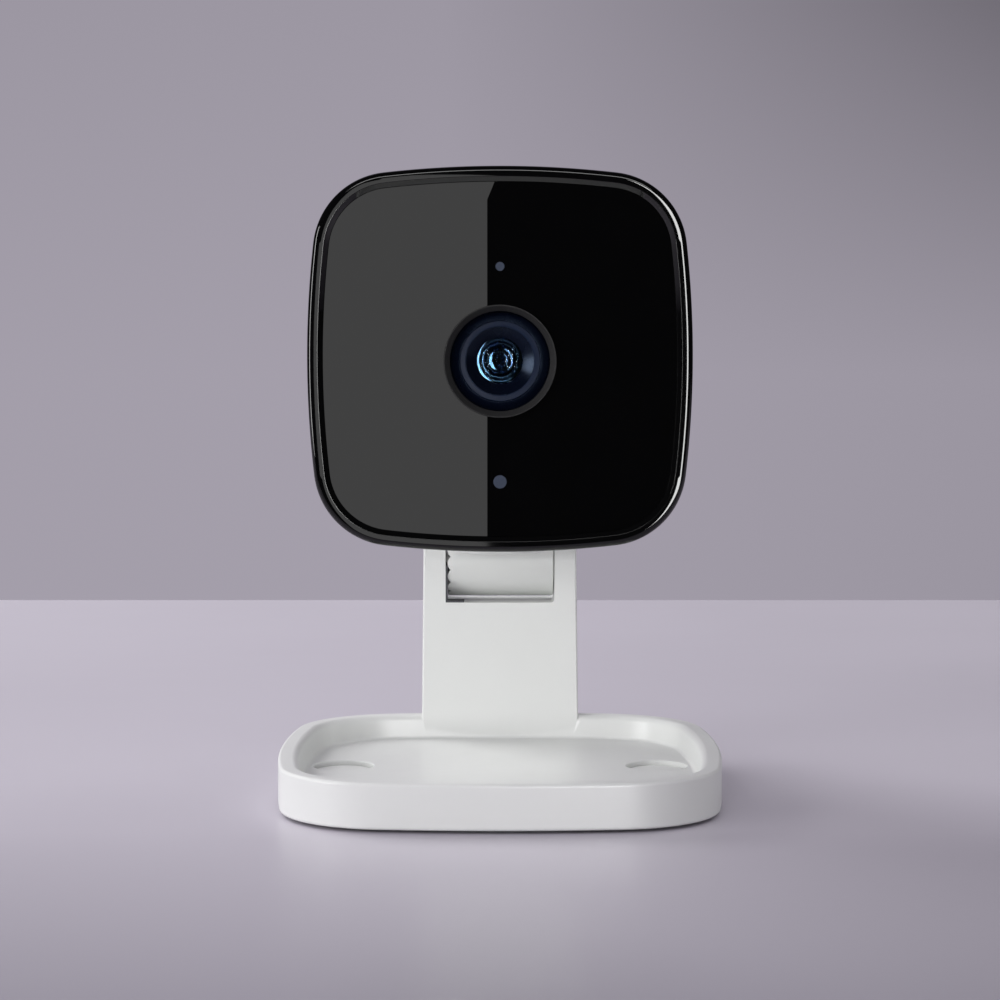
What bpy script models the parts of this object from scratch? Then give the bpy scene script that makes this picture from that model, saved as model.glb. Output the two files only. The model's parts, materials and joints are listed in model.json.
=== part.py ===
"""A small indoor security camera: a square head on a tilting and turning neck, over a stand.

Metres, +Z up. The origin is the middle of the stand's underside, and the camera looks along -Y.
"""

import math

import bmesh
import bpy
from mathutils import Matrix, Vector

MM = 0.001

# Gaps between neighbouring pieces
FIT_GAP = 0.3 * MM
HEAD_LIFT = 0.24 * MM

# How far cutters reach past what they cut, and how long those for through holes are
CUT_MARGIN = 1.0 * MM
CUT_OVERLAP = 0.01 * MM
HOLE_REACH = 8.0 * MM

# Chamfers on boxes
BOX_EDGE = 0.3 * MM
LAMP_EDGE = 0.2 * MM
SOCKET_EDGE = 0.1 * MM

# Head: a square with bulged sides and round corners
HEAD_WIDTH = 50.0 * MM
HEAD_HEIGHT = 50.0 * MM
HEAD_DEPTH = 37.3 * MM
HEAD_SIDE_RADIUS = 133.0 * MM
HEAD_CORNER_RADIUS = 10.3 * MM
HEAD_REACH = 46.4 * MM

# Front bezel and window
BEZEL_DEPTH = 4.6 * MM
BEZEL_EDGE_RADIUS = 0.8 * MM
BEZEL_LIP = 1.38 * MM
BEZEL_RIM = 2.0 * MM
BEZEL_LEDGE = 3.4 * MM
BEZEL_LEDGE_THICKNESS = 1.0 * MM
BEZEL_SKIRT = 2.4 * MM
WINDOW_SETBACK = 0.6 * MM
WINDOW_THICKNESS = 1.2 * MM
WINDOW_EDGE = 0.15 * MM
GASKET_WIDTH = 0.8 * MM
GASKET_DEPTH = 2.6 * MM
GASKET_LAP = 0.65 * MM

# Head shell and back cover
SHELL_INSET = 0.6 * MM
SHELL_WALL = 1.8 * MM
SHELL_BACK_RADIUS = 4.6 * MM
SHELL_BACK_LIP = 1.2 * MM
COVER_THICKNESS = 1.5 * MM
COVER_EDGE = 0.2 * MM

# Lens trim ring, seen round the lens
TRIM_WALL = 0.35 * MM
TRIM_FLANGE_LIP = 0.47 * MM
TRIM_PROUD = 0.2 * MM
TRIM_FLANGE_THICKNESS = 0.5 * MM
TRIM_LENGTH = 4.8 * MM
TRIM_CONE_DEPTH = 0.9 * MM
TRIM_EDGE = 0.1 * MM
TRIM_FACE = 0.3 * MM

# Lens
LENS_DROP = 0.2 * MM
LENS_FRONT = 1.3 * MM
LENS_FLANGE_LIP = 0.35 * MM
LENS_FLANGE_LENGTH = 3.2 * MM
LENS_THREAD_RADIUS = 5.85 * MM
LENS_LENGTH = 12.7 * MM
LENS_BORE = 3.7 * MM
LENS_LIP = 3.0 * MM
LENS_LIP_THICKNESS = 0.4 * MM
LENS_CONE_DEPTH = 1.4 * MM
LENS_EDGE = 0.2 * MM
LENS_SEAT_EDGE = 0.35 * MM
RETAINER_RIM = 0.6 * MM
RETAINER_WIDTH = 0.8 * MM
RETAINER_DEPTH = 1.0 * MM
RETAINER_EDGE = 0.1 * MM
RETAINER_SLOPE = 0.25 * MM
GLASS_EDGE = 1.0 * MM
GLASS_BULGE = 0.6 * MM
GLASS_BACK_BULGE = 0.3 * MM
INNER_GLASS_BULGE = 0.4 * MM
REAR_GLASS_BULGE = 0.2 * MM
REAR_GLASS_SPACE = 0.5 * MM
PUPIL_RADIUS = 0.9 * MM
PUPIL_SLOPE = 0.4 * MM
STOP_THICKNESS = 0.4 * MM
HOLDER_WALL = 1.25 * MM
HOLDER_TUBE_LENGTH = 6.0 * MM
HOLDER_FLANGE = 1.7 * MM
HOLDER_SPARE_THREAD = 1.0 * MM
HOLDER_OVERLAP = 0.5 * MM
HOLDER_WIDTH = 25.0 * MM
HOLDER_HEIGHT = 16.0 * MM
HOLDER_SCREW_SPACING = 20.6 * MM
SENSOR_WINDOW = 9.0 * MM
SENSOR_BOARD_WIDTH = 26.0 * MM
SENSOR_BOARD_HEIGHT = 24.0 * MM
SENSOR_SCREW_REACH = 0.2 * MM
SENSOR_WIDTH = 6.6 * MM
SENSOR_HEIGHT = 5.2 * MM
SENSOR_THICKNESS = 0.9 * MM
FILTER_SIZE = 7.4 * MM
FILTER_THICKNESS = 0.4 * MM

# Boards and electronic pieces
BOARD_THICKNESS = 1.0 * MM
LAMP_BOARD_INSET = 3.9 * MM
LAMP_SIZE = 1.8 * MM
LAMP_HEIGHT = 0.8 * MM
LAMP_SIDE = 9.8 * MM
STATUS_LAMP_PROUD = 0.2 * MM
STATUS_LAMP_HEIGHT = 12.05 * MM
STATUS_LAMP_RADIUS = 0.575 * MM
LIGHT_SENSOR_DROP = 15.85 * MM
LIGHT_SENSOR_SIZE = 2.0 * MM
MICROPHONE_SIZE = (3.0 * MM, 2.2 * MM, 1.0 * MM)
MICROPHONE_EDGE = 0.15 * MM
MICROPHONE_RISE = 3.0 * MM
MAIN_BOARD_INSET = 3.6 * MM
MAIN_BOARD_THICKNESS = 1.2 * MM
MAIN_BOARD_FOOT = 9.0 * MM
MAIN_BOARD_SETBACK = 1.8 * MM
SPEAKER_RADIUS = 10.0 * MM
SPEAKER_DEPTH = 4.0 * MM
SPEAKER_RISE = 7.0 * MM
SPEAKER_GASKET = 1.2 * MM
SPEAKER_MAGNET = 6.0 * MM
SPEAKER_CONE = 7.5 * MM
SPEAKER_CONE_DEPTH = 0.8 * MM
SPEAKER_CAP_RADIUS = 3.75 * MM
SPEAKER_CAP_DEPTH = 0.5 * MM
INLET_WIDTH = 9.0 * MM
INLET_HEIGHT = 3.2 * MM
INLET_WALL = 0.35 * MM
INLET_DROP = 12.5 * MM
INLET_BACK_WALL = 1.2 * MM
INLET_TONGUE_WIDTH = 6.48 * MM
INLET_TONGUE_THICKNESS = 0.7 * MM
INLET_TONGUE_SETBACK = 0.6 * MM
INLET_TONGUE_SHORTER = 1.0 * MM
CARD_WIDTH = 12.0 * MM
CARD_SOCKET_DEPTH = 1.5 * MM
CARD_SOCKET_LENGTH = 14.0 * MM
CARD_DROP = 9.5 * MM
CARD_SLOT = 1.1 * MM
CARD_SETBACK = 1.3 * MM
SHIELD_WIDTH = 18.0 * MM
SHIELD_HEIGHT = 15.0 * MM
SHIELD_DEPTH = 2.0 * MM
SHIELD_RISE = 2.0 * MM
SPREADER_WIDTH = 28.0 * MM
SPREADER_HEIGHT = 22.0 * MM
SPREADER_THICKNESS = 1.5 * MM
AERIAL_SIZE = (22.0 * MM, 0.6 * MM, 8.0 * MM)
AERIAL_BACK = 18.0 * MM
AERIAL_DROP = 1.0 * MM

# Setup button in the back cover
BUTTON_RADIUS = 2.4 * MM
BUTTON_FLANGE = 3.2 * MM
BUTTON_SIDE = 12.0 * MM
BUTTON_DROP = 11.0 * MM
BUTTON_PROUD = 0.2 * MM
BUTTON_LENGTH = 4.2 * MM
BUTTON_FLANGE_DEPTH = 2.1 * MM
BUTTON_FLANGE_THICKNESS = 0.9 * MM
BUTTON_TAIL_RADIUS = 1.32 * MM
BUTTON_EDGE = 0.25 * MM
SWITCH_SIZE = 5.0 * MM
SWITCH_BODY = 2.4 * MM
SWITCH_PLUNGER = 3.3 * MM
SWITCH_PLUNGER_RADIUS = 1.2 * MM

# Screws
SMALL_SCREW_RADIUS = 0.8 * MM
SMALL_HEAD_RADIUS = 1.6 * MM
SMALL_HEAD_HEIGHT = 0.9 * MM
COVER_SCREW_SIDE = 14.8 * MM
COVER_SCREW_RISE = 14.2 * MM
COVER_SCREW_LENGTH = 4.6 * MM

# Grille in the back cover
GRILLE_HOLE = 0.6 * MM
GRILLE_PITCH = 2.6 * MM
GRILLE_RINGS = 2

# Hinge between the stand and the neck
HINGE_HEIGHT = 28.4 * MM
KNUCKLE_RADIUS = 5.0 * MM
BARREL_LENGTH = 15.2 * MM
BARREL_EDGE = 0.3 * MM
PIN_RADIUS = 1.5 * MM
PIN_EDGE = 0.2 * MM
PIN_CAP_RADIUS = 2.6 * MM
PIN_CAP_THICKNESS = 0.5 * MM
PIN_CAP_EDGE = 0.15 * MM
CLICK_COUNT = 16
CLICK_DEPTH = 0.5 * MM
CLICK_PHASE = 0.55
CLICK_NOTCH_SHARE = 0.5
CLICK_RING_LENGTH = 1.6 * MM
CLICK_RING_WALL = 1.9 * MM
CLICK_SPRING_THICKNESS = 0.35 * MM
CLICK_SPRING_SETBACK = 0.6 * MM
CLICK_SPRING_FOOT = 2.3 * MM
CLICK_SPRING_TOP = 0.6

# Neck and swivel under the head
NECK_REACH = 21.1 * MM
NECK_WIDTH = 12.0 * MM
NECK_TIP = 1.3 * MM
NECK_ROOT = 3.1 * MM
NECK_ROOT_REACH = 0.55
NECK_TIP_SLOPE = 0.25
NECK_TOP_STEP = 0.05 * MM
SWIVEL_RADIUS = 6.4 * MM
SWIVEL_FLANGE = 8.4 * MM
SWIVEL_FLANGE_THICKNESS = 1.5 * MM
SWIVEL_STEM = 2.6 * MM
SWIVEL_BOSS_DROP = 0.35 * MM
SWIVEL_HOLE_DROP = 5.0 * MM
SWIVEL_SCREW_RADIUS = 1.25 * MM
SWIVEL_SCREW_HEAD = 2.8 * MM
SWIVEL_SCREW_HEAD_HEIGHT = 1.5 * MM
SWIVEL_SCREW_REACH = 2.0 * MM
WASHER_THICKNESS = 0.4 * MM

# Stand: a tray with an arm at its back
BASE_WIDTH = 59.2 * MM
BASE_DEPTH = 62.8 * MM
BASE_SIDE_RADIUS = 137.6 * MM
BASE_CORNER_RADIUS = 14.9 * MM
RIM_HEIGHT = 6.3 * MM
RIM_EDGE = 0.4 * MM
RIM_FLAT = 1.4 * MM
RIM_FILLET = 1.0 * MM
TRAY_DRAFT = 0.5 * MM
TRAY_FLOOR = 3.0 * MM
FLOOR_FILLET = 0.3 * MM
FLOOR_THICKNESS = 1.0 * MM
ARM_WIDTH = 22.8 * MM
ARM_DRAFT = 0.011
ARM_TAPER_TOP = 21.5 * MM
ARM_TAPER_BOTTOM = 12.5 * MM
ARM_EDGE = 0.35 * MM
SLOT_DROP = 5.6 * MM
FOOT_HEIGHT = 0.4 * MM
FOOT_INSET = 1.8 * MM
WEIGHT_THICKNESS = 1.0 * MM
PLUG_SIDE = 21.4 * MM
PLUG_BACK = 3.5 * MM
POCKET_RADIUS = 4.15 * MM
POCKET_DEPTH = 1.5 * MM
PLUG_THICKNESS = 0.6 * MM
WALL_SCREW_RADIUS = 2.2 * MM
SCREW_BOSS_RADIUS = 6.2 * MM
SCREW_BOSS_FOOT = 0.7 * MM
SCREW_BOSS_SINK = 0.2 * MM

# How finely round shapes are divided
SIDE_STEPS = 3
CORNER_STEPS = 7
ROUND_STEPS = 24
LENS_STEPS = 32
SMALL_STEPS = 12
DOME_STEPS = 3
MERGE_DISTANCE = 0.01 * MM

# How large the joints' markers are shown
EMPTY_SIZE = 10.0 * MM

# Places that follow from the sizes above
ARM_FRONT_Y = BASE_DEPTH / 2 - RIM_EDGE - RIM_FLAT - RIM_FILLET - TRAY_DRAFT
HINGE_Y = ARM_FRONT_Y + KNUCKLE_RADIUS
PAN_Y = HINGE_Y - NECK_REACH
HEAD_FRONT_Y = HINGE_Y - HEAD_REACH
HEAD_Z = HINGE_HEIGHT + KNUCKLE_RADIUS + HEAD_LIFT + HEAD_HEIGHT / 2
SHELL_BOTTOM_Z = HEAD_Z - HEAD_HEIGHT / 2 + SHELL_INSET
SLOT_WIDTH = BARREL_LENGTH + 2 * FIT_GAP
SLOT_FLOOR_Z = HINGE_HEIGHT - SLOT_DROP
CLICK_SPRING_WIDTH = KNUCKLE_RADIUS - CLICK_SPRING_SETBACK - PIN_RADIUS - 2 * FIT_GAP
ARM_BACK_Y = BASE_DEPTH / 2
ARM_FOOT_Z = TRAY_FLOOR - FLOOR_THICKNESS / 2
EAR_FACE_X = ARM_WIDTH / 2 - ARM_DRAFT * (HINGE_HEIGHT - ARM_FOOT_Z)
WINDOW_BACK = WINDOW_SETBACK + WINDOW_THICKNESS
LEDGE_FRONT = WINDOW_BACK + FIT_GAP
LAMP_BOARD_FRONT = LEDGE_FRONT + BEZEL_LEDGE_THICKNESS + FIT_GAP
LENS_BACK = LENS_FRONT + LENS_LENGTH
LENS_FLANGE_RADIUS = LENS_THREAD_RADIUS + LENS_FLANGE_LIP
RETAINER_OUTER = LENS_THREAD_RADIUS - RETAINER_RIM
RETAINER_INNER = RETAINER_OUTER - RETAINER_WIDTH
TRIM_INNER_RADIUS = LENS_FLANGE_RADIUS + FIT_GAP
TRIM_TUBE_RADIUS = TRIM_INNER_RADIUS + TRIM_WALL
TRIM_FLANGE_RADIUS = TRIM_TUBE_RADIUS + TRIM_FLANGE_LIP
HOLDER_TUBE = LENS_THREAD_RADIUS + FIT_GAP + HOLDER_WALL
HOLDER_FRONT = LENS_BACK - HOLDER_TUBE_LENGTH + HOLDER_SPARE_THREAD
HOLDER_BACK = HOLDER_FRONT + HOLDER_TUBE_LENGTH + HOLDER_FLANGE
SENSOR_BOARD_FRONT = HOLDER_BACK + FIT_GAP
COVER_FRONT = HEAD_DEPTH - COVER_THICKNESS
SPEAKER_FRONT = COVER_FRONT - FIT_GAP - SPEAKER_GASKET - FIT_GAP - SPEAKER_DEPTH
MAIN_BOARD_BACK = SPEAKER_FRONT - MAIN_BOARD_SETBACK
MAIN_BOARD_FRONT = MAIN_BOARD_BACK - MAIN_BOARD_THICKNESS
TILT_CENTRE = Vector((0, HINGE_Y, HINGE_HEIGHT))
PAN_CENTRE = Vector((0, PAN_Y, SHELL_BOTTOM_Z))


# Scene, materials and placing


def clear_scene():
    for item in list(bpy.data.objects):
        bpy.data.objects.remove(item, do_unlink=True)


def new_collection(name):
    made = bpy.data.collections.new(name)
    bpy.context.scene.collection.children.link(made)
    return made


def new_material(name, colour, roughness, metallic=0.0, transmission=0.0):
    made = bpy.data.materials.new(name)
    made.use_nodes = True
    shader = made.node_tree.nodes["Principled BSDF"]
    shader.inputs["Base Color"].default_value = (*colour, 1.0)
    shader.inputs["Roughness"].default_value = roughness
    shader.inputs["Metallic"].default_value = metallic
    shader.inputs["Transmission Weight"].default_value = transmission
    made.diffuse_color = (*colour, 1.0)
    return made


def new_empty(name, place, parent=None):
    made = bpy.data.objects.new(name, None)
    made.location = place
    made.empty_display_size = EMPTY_SIZE
    PARTS.objects.link(made)
    if parent:
        attach(made, parent)
    return made


def world_place(item):
    place = item.location.copy()
    while item.parent:
        place += item.matrix_parent_inverse.translation + item.parent.location
        item = item.parent
    return place


def attach(item, parent):
    """Parents the item to an empty and leaves it where it is in the world."""
    item.parent = parent
    item.matrix_parent_inverse = Matrix.Translation(-world_place(parent))


def finish_piece(piece, finish, parent):
    PARTS.objects.link(piece)
    piece.data.materials.append(finish)
    if parent:
        attach(piece, parent)
    return piece


def mesh_object(name, shape):
    """An object of the shape's mesh, with its faces pointing out and its round parts shaded smooth."""
    bmesh.ops.recalc_face_normals(shape, faces=shape.faces)
    mesh = bpy.data.meshes.new(name)
    shape.to_mesh(mesh)
    shape.free()
    mesh.shade_smooth()
    mesh.set_sharp_from_angle(angle=math.radians(30))
    return bpy.data.objects.new(name, mesh)


def on_head(piece, x=0.0, z=0.0, depth=0.0):
    """Stands the piece on the head: its +Z looks forward, and depth is measured back from the face."""
    piece.location = (x, HEAD_FRONT_Y + depth, HEAD_Z + z)
    piece.rotation_euler = (math.pi / 2, 0, 0)
    return piece


def across(piece, x, y, z):
    """Lays the piece along X: its +Z looks to +X."""
    piece.location = (x, y, z)
    piece.rotation_euler = (0, math.pi / 2, 0)
    return piece


# Shapes


def bulged_square(width, height, side_radius, corner_radius, inset=0.0):
    """Points round a square with bulged sides and round corners, moved in by the inset."""
    reach_x = side_radius - width / 2
    reach_y = side_radius - height / 2
    span = side_radius - corner_radius
    # The corner's centre is as far from the centres of both side arcs that meet there.
    slope = reach_y / reach_x
    shift = (reach_y**2 - reach_x**2) / (2 * reach_x)
    square = slope**2 + 1
    linear = 2 * (slope * (shift + reach_x))
    constant = (shift + reach_x) ** 2 - span**2
    corner_y = (-linear + math.sqrt(linear**2 - 4 * square * constant)) / (2 * square)
    corner_x = slope * corner_y + shift
    side_end = math.atan2(corner_y, corner_x + reach_x)
    top_start = math.atan2(corner_y + reach_y, corner_x)
    quarter = []
    for step in range(SIDE_STEPS):
        angle = side_end * step / SIDE_STEPS
        quarter.append(
            (
                (side_radius - inset) * math.cos(angle) - reach_x,
                (side_radius - inset) * math.sin(angle),
            )
        )
    for step in range(CORNER_STEPS):
        angle = side_end + (top_start - side_end) * step / CORNER_STEPS
        quarter.append(
            (
                corner_x + (corner_radius - inset) * math.cos(angle),
                corner_y + (corner_radius - inset) * math.sin(angle),
            )
        )
    for step in range(SIDE_STEPS):
        angle = top_start + (math.pi / 2 - top_start) * step / SIDE_STEPS
        quarter.append(
            (
                (side_radius - inset) * math.cos(angle),
                (side_radius - inset) * math.sin(angle) - reach_y,
            )
        )
    top = (0.0, height / 2 - inset)
    half = quarter + [top] + [(-x, y) for x, y in reversed(quarter[1:])]
    return half + [(-x, -y) for x, y in half]


def head_outline(inset):
    return bulged_square(HEAD_WIDTH, HEAD_HEIGHT, HEAD_SIDE_RADIUS, HEAD_CORNER_RADIUS, inset)


def base_outline(inset):
    return bulged_square(BASE_WIDTH, BASE_DEPTH, BASE_SIDE_RADIUS, BASE_CORNER_RADIUS, inset)


def swept(name, outline, profile, ring=False):
    """Carries a profile of (inset, height) points round an outline: a closed solid, or a ring."""
    shape = bmesh.new()
    levels = []
    for inset, height in profile:
        levels.append([shape.verts.new((x, y, height)) for x, y in outline(inset)])
    pairs = list(zip(levels, levels[1:]))
    if ring:
        pairs.append((levels[-1], levels[0]))
    else:
        shape.faces.new(levels[0])
        shape.faces.new(levels[-1])
    for one, other in pairs:
        for index, vert in enumerate(one):
            after = (index + 1) % len(one)
            shape.faces.new((vert, one[after], other[after], other[index]))
    return mesh_object(name, shape)


def turned(name, profile, steps=ROUND_STEPS):
    """Turns a profile of (radius, height) points about Z, down the outer side and up the inner."""
    on_axis = profile[0][0] == 0 and profile[-1][0] == 0
    points = [(radius, 0, height) for radius, height in profile]
    edges = [(index, index + 1) for index in range(len(points) - 1)]
    if not on_axis:
        edges.append((len(points) - 1, 0))
    mesh = bpy.data.meshes.new(name)
    mesh.from_pydata(points, edges, [])
    piece = bpy.data.objects.new(name, mesh)
    screw = piece.modifiers.new("turn", "SCREW")
    screw.steps = steps
    screw.render_steps = steps
    screw.use_merge_vertices = True
    screw.merge_threshold = MERGE_DISTANCE
    return piece


def disc(name, radius, thickness, steps=ROUND_STEPS):
    """A round solid standing on its base: its Z runs from 0 to the thickness."""
    shape = bmesh.new()
    bmesh.ops.create_cone(
        shape,
        cap_ends=True,
        segments=steps,
        radius1=radius,
        radius2=radius,
        depth=thickness,
        matrix=Matrix.Translation((0, 0, thickness / 2)),
    )
    return mesh_object(name, shape)


def tube(name, outer, inner, thickness, steps=ROUND_STEPS):
    """A round ring standing on its base."""
    return turned(name, [(outer, thickness), (outer, 0), (inner, 0), (inner, thickness)], steps)


def block(name, size, bevel=0.0):
    """A box centred in X and Y and standing on its base."""
    shape = bmesh.new()
    bmesh.ops.create_cube(shape, size=1)
    bmesh.ops.scale(shape, vec=size, verts=shape.verts)
    bmesh.ops.translate(shape, vec=(0, 0, size[2] / 2), verts=shape.verts)
    if bevel:
        bmesh.ops.bevel(shape, geom=shape.edges, offset=bevel, segments=1, affect="EDGES")
    return mesh_object(name, shape)


def prism(name, points, thickness):
    """A flat outline of (x, y) points, raised along Z from 0 to the thickness."""
    shape = bmesh.new()
    base = shape.faces.new([shape.verts.new((x, y, 0)) for x, y in points])
    raised = bmesh.ops.extrude_face_region(shape, geom=[base])
    moved = [item for item in raised["geom"] if isinstance(item, bmesh.types.BMVert)]
    bmesh.ops.translate(shape, vec=(0, 0, thickness), verts=moved)
    return mesh_object(name, shape)


def arc(centre, radius, start, end, steps):
    """Points on an arc, from one angle in degrees to another, both ends included."""
    points = []
    for step in range(steps + 1):
        angle = math.radians(start + (end - start) * step / steps)
        points.append(
            (centre[0] + radius * math.cos(angle), centre[1] + radius * math.sin(angle))
        )
    return points


def capsule(width, height, steps=4):
    """The outline of a slot with half-round ends."""
    radius = height / 2
    side = width / 2 - radius
    return arc((side, 0), radius, -90, 90, steps) + arc((-side, 0), radius, 90, 270, steps)


def screw_profile(head_radius, head_height, shank_radius, length):
    """A screw whose head's underside is at 0: the head stands above it and the shank hangs below."""
    return [
        (0, head_height * 0.5),
        (head_radius * 0.4, head_height),
        (head_radius * 0.8, head_height),
        (head_radius, head_height * 0.6),
        (head_radius, 0),
        (shank_radius, 0),
        (shank_radius, -length + shank_radius),
        (0, -length),
    ]


def boolean(target, tool, operation):
    CUTTERS.objects.link(tool)
    tool.hide_render = True
    tool.display_type = "WIRE"
    step = target.modifiers.new(operation.lower() + "_" + tool.name, "BOOLEAN")
    step.operation = operation
    step.object = tool
    return target


def cut(target, *tools):
    for tool in tools:
        boolean(target, tool, "DIFFERENCE")
    return target


def join(target, *tools):
    for tool in tools:
        boolean(target, tool, "UNION")
    return target


# The stand


def arm_shape():
    """The arm, from the tray's back wall up to the round knuckle, with drafted sides."""
    side = [
        (ARM_FRONT_Y, ARM_FOOT_Z),
        (ARM_BACK_Y, ARM_FOOT_Z),
        (ARM_BACK_Y, ARM_TAPER_BOTTOM),
        (HINGE_Y + KNUCKLE_RADIUS, ARM_TAPER_TOP),
    ]
    side += arc((HINGE_Y, HINGE_HEIGHT), KNUCKLE_RADIUS, 0, 180, 10)
    shape = bmesh.new()
    face = shape.faces.new([shape.verts.new((-ARM_WIDTH / 2, y, z)) for y, z in side])
    raised = bmesh.ops.extrude_face_region(shape, geom=[face])
    moved = [item for item in raised["geom"] if isinstance(item, bmesh.types.BMVert)]
    bmesh.ops.translate(shape, vec=(ARM_WIDTH, 0, 0), verts=moved)
    for vert in shape.verts:
        vert.co.x -= math.copysign(ARM_DRAFT * (vert.co.z - ARM_FOOT_Z), vert.co.x)
    rims = [edge for edge in shape.edges if edge.verts[0].co.x * edge.verts[1].co.x > 0]
    bmesh.ops.bevel(shape, geom=rims, offset=ARM_EDGE, segments=2, profile=0.5, affect="EDGES")
    return mesh_object("arm", shape)


def make_stand():
    fillet = arc((RIM_EDGE + RIM_FLAT, RIM_HEIGHT - RIM_FILLET), RIM_FILLET, 90, 0, 3)
    wall_foot = RIM_EDGE + RIM_FLAT + RIM_FILLET + TRAY_DRAFT
    profile = [(RIM_EDGE, FOOT_HEIGHT), (0, FOOT_HEIGHT + RIM_EDGE)]
    profile += arc((RIM_EDGE, RIM_HEIGHT - RIM_EDGE), RIM_EDGE, 180, 90, 2)
    profile += fillet
    profile += [(wall_foot, TRAY_FLOOR + FLOOR_FILLET), (wall_foot + FLOOR_FILLET, TRAY_FLOOR)]
    stand = swept("stand", base_outline, profile)
    ceiling = TRAY_FLOOR - FLOOR_THICKNESS
    hollow = swept(
        "under_hollow",
        base_outline,
        [(FOOT_INSET, FOOT_HEIGHT - CUT_MARGIN), (FOOT_INSET, ceiling)],
    )
    cut(stand, hollow)
    for side in (-1, 1):
        boss_height = TRAY_FLOOR - SCREW_BOSS_FOOT - SCREW_BOSS_SINK
        boss = disc("screw_boss", SCREW_BOSS_RADIUS, boss_height)
        boss.location = (side * PLUG_SIDE, PLUG_BACK, SCREW_BOSS_FOOT)
        join(stand, boss)
        pocket = disc("plug_pocket", POCKET_RADIUS, POCKET_DEPTH + CUT_MARGIN)
        pocket.location = (side * PLUG_SIDE, PLUG_BACK, TRAY_FLOOR - POCKET_DEPTH)
        hole = disc("wall_screw_hole", WALL_SCREW_RADIUS, TRAY_FLOOR, SMALL_STEPS)
        hole.location = (side * PLUG_SIDE, PLUG_BACK, 0)
        cut(stand, pocket, hole)
    join(stand, arm_shape())
    slot = block("barrel_slot", (SLOT_WIDTH, 4 * KNUCKLE_RADIUS, 4 * KNUCKLE_RADIUS))
    slot.location = (0, HINGE_Y, SLOT_FLOOR_Z)
    cut(stand, slot)
    cut(stand, *click_spring_pockets())
    pin_hole = across(
        disc("pin_hole", PIN_RADIUS + FIT_GAP, ARM_WIDTH + 2 * CUT_MARGIN, SMALL_STEPS),
        -ARM_WIDTH / 2 - CUT_MARGIN,
        HINGE_Y,
        HINGE_HEIGHT,
    )
    cut(stand, pin_hole)
    for side in (-1, 1):
        recess = disc("cap_recess", PIN_CAP_RADIUS + FIT_GAP, 3 * CUT_MARGIN)
        across(recess, side * EAR_FACE_X, HINGE_Y, HINGE_HEIGHT)
        recess.location.x -= side * (PIN_CAP_THICKNESS + FIT_GAP)
        if side < 0:
            recess.rotation_euler = (0, -math.pi / 2, 0)
        cut(stand, recess)
    return finish_piece(stand, WHITE, None)


def click_spring_pockets():
    """Room in the left ear and the slot's floor for the click spring's leg and foot."""
    depth = CLICK_SPRING_THICKNESS + 2 * FIT_GAP
    leg_height = HINGE_HEIGHT + KNUCKLE_RADIUS - SLOT_FLOOR_Z + depth
    leg = block("spring_leg_pocket", (depth, CLICK_SPRING_WIDTH + 2 * FIT_GAP, leg_height))
    leg.location = (
        -SLOT_WIDTH / 2 - depth / 2 + CUT_OVERLAP,
        ARM_FRONT_Y + CLICK_SPRING_SETBACK + CLICK_SPRING_WIDTH / 2,
        SLOT_FLOOR_Z - depth,
    )
    foot = block(
        "spring_foot_pocket",
        (CLICK_SPRING_FOOT + FIT_GAP, KNUCKLE_RADIUS + 2 * CUT_MARGIN, 2 * depth),
    )
    foot.location = (
        -SLOT_WIDTH / 2 + (CLICK_SPRING_FOOT + FIT_GAP) / 2 - CUT_OVERLAP,
        HINGE_Y - KNUCKLE_RADIUS / 2 - CUT_MARGIN,
        SLOT_FLOOR_Z - depth,
    )
    return leg, foot


def make_click_spring():
    """An L-shaped steel leaf: its foot is in the slot's floor and its leg is beside the ring."""
    depth = CLICK_SPRING_THICKNESS + 2 * FIT_GAP
    left = -SLOT_WIDTH / 2 - depth + FIT_GAP
    low = SLOT_FLOOR_Z - depth + FIT_GAP
    right = -SLOT_WIDTH / 2 + CLICK_SPRING_FOOT
    top = HINGE_HEIGHT + KNUCKLE_RADIUS * CLICK_SPRING_TOP
    thick = CLICK_SPRING_THICKNESS
    outline = [
        (left, low),
        (right, low),
        (right, low + thick),
        (left + thick, low + thick),
        (left + thick, top),
        (left, top),
    ]
    spring = prism("click_spring", outline, CLICK_SPRING_WIDTH)
    spring.rotation_euler = (math.pi / 2, 0, 0)
    spring.location.y = ARM_FRONT_Y + CLICK_SPRING_SETBACK + CLICK_SPRING_WIDTH
    return finish_piece(spring, DARK_STEEL, None)


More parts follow.
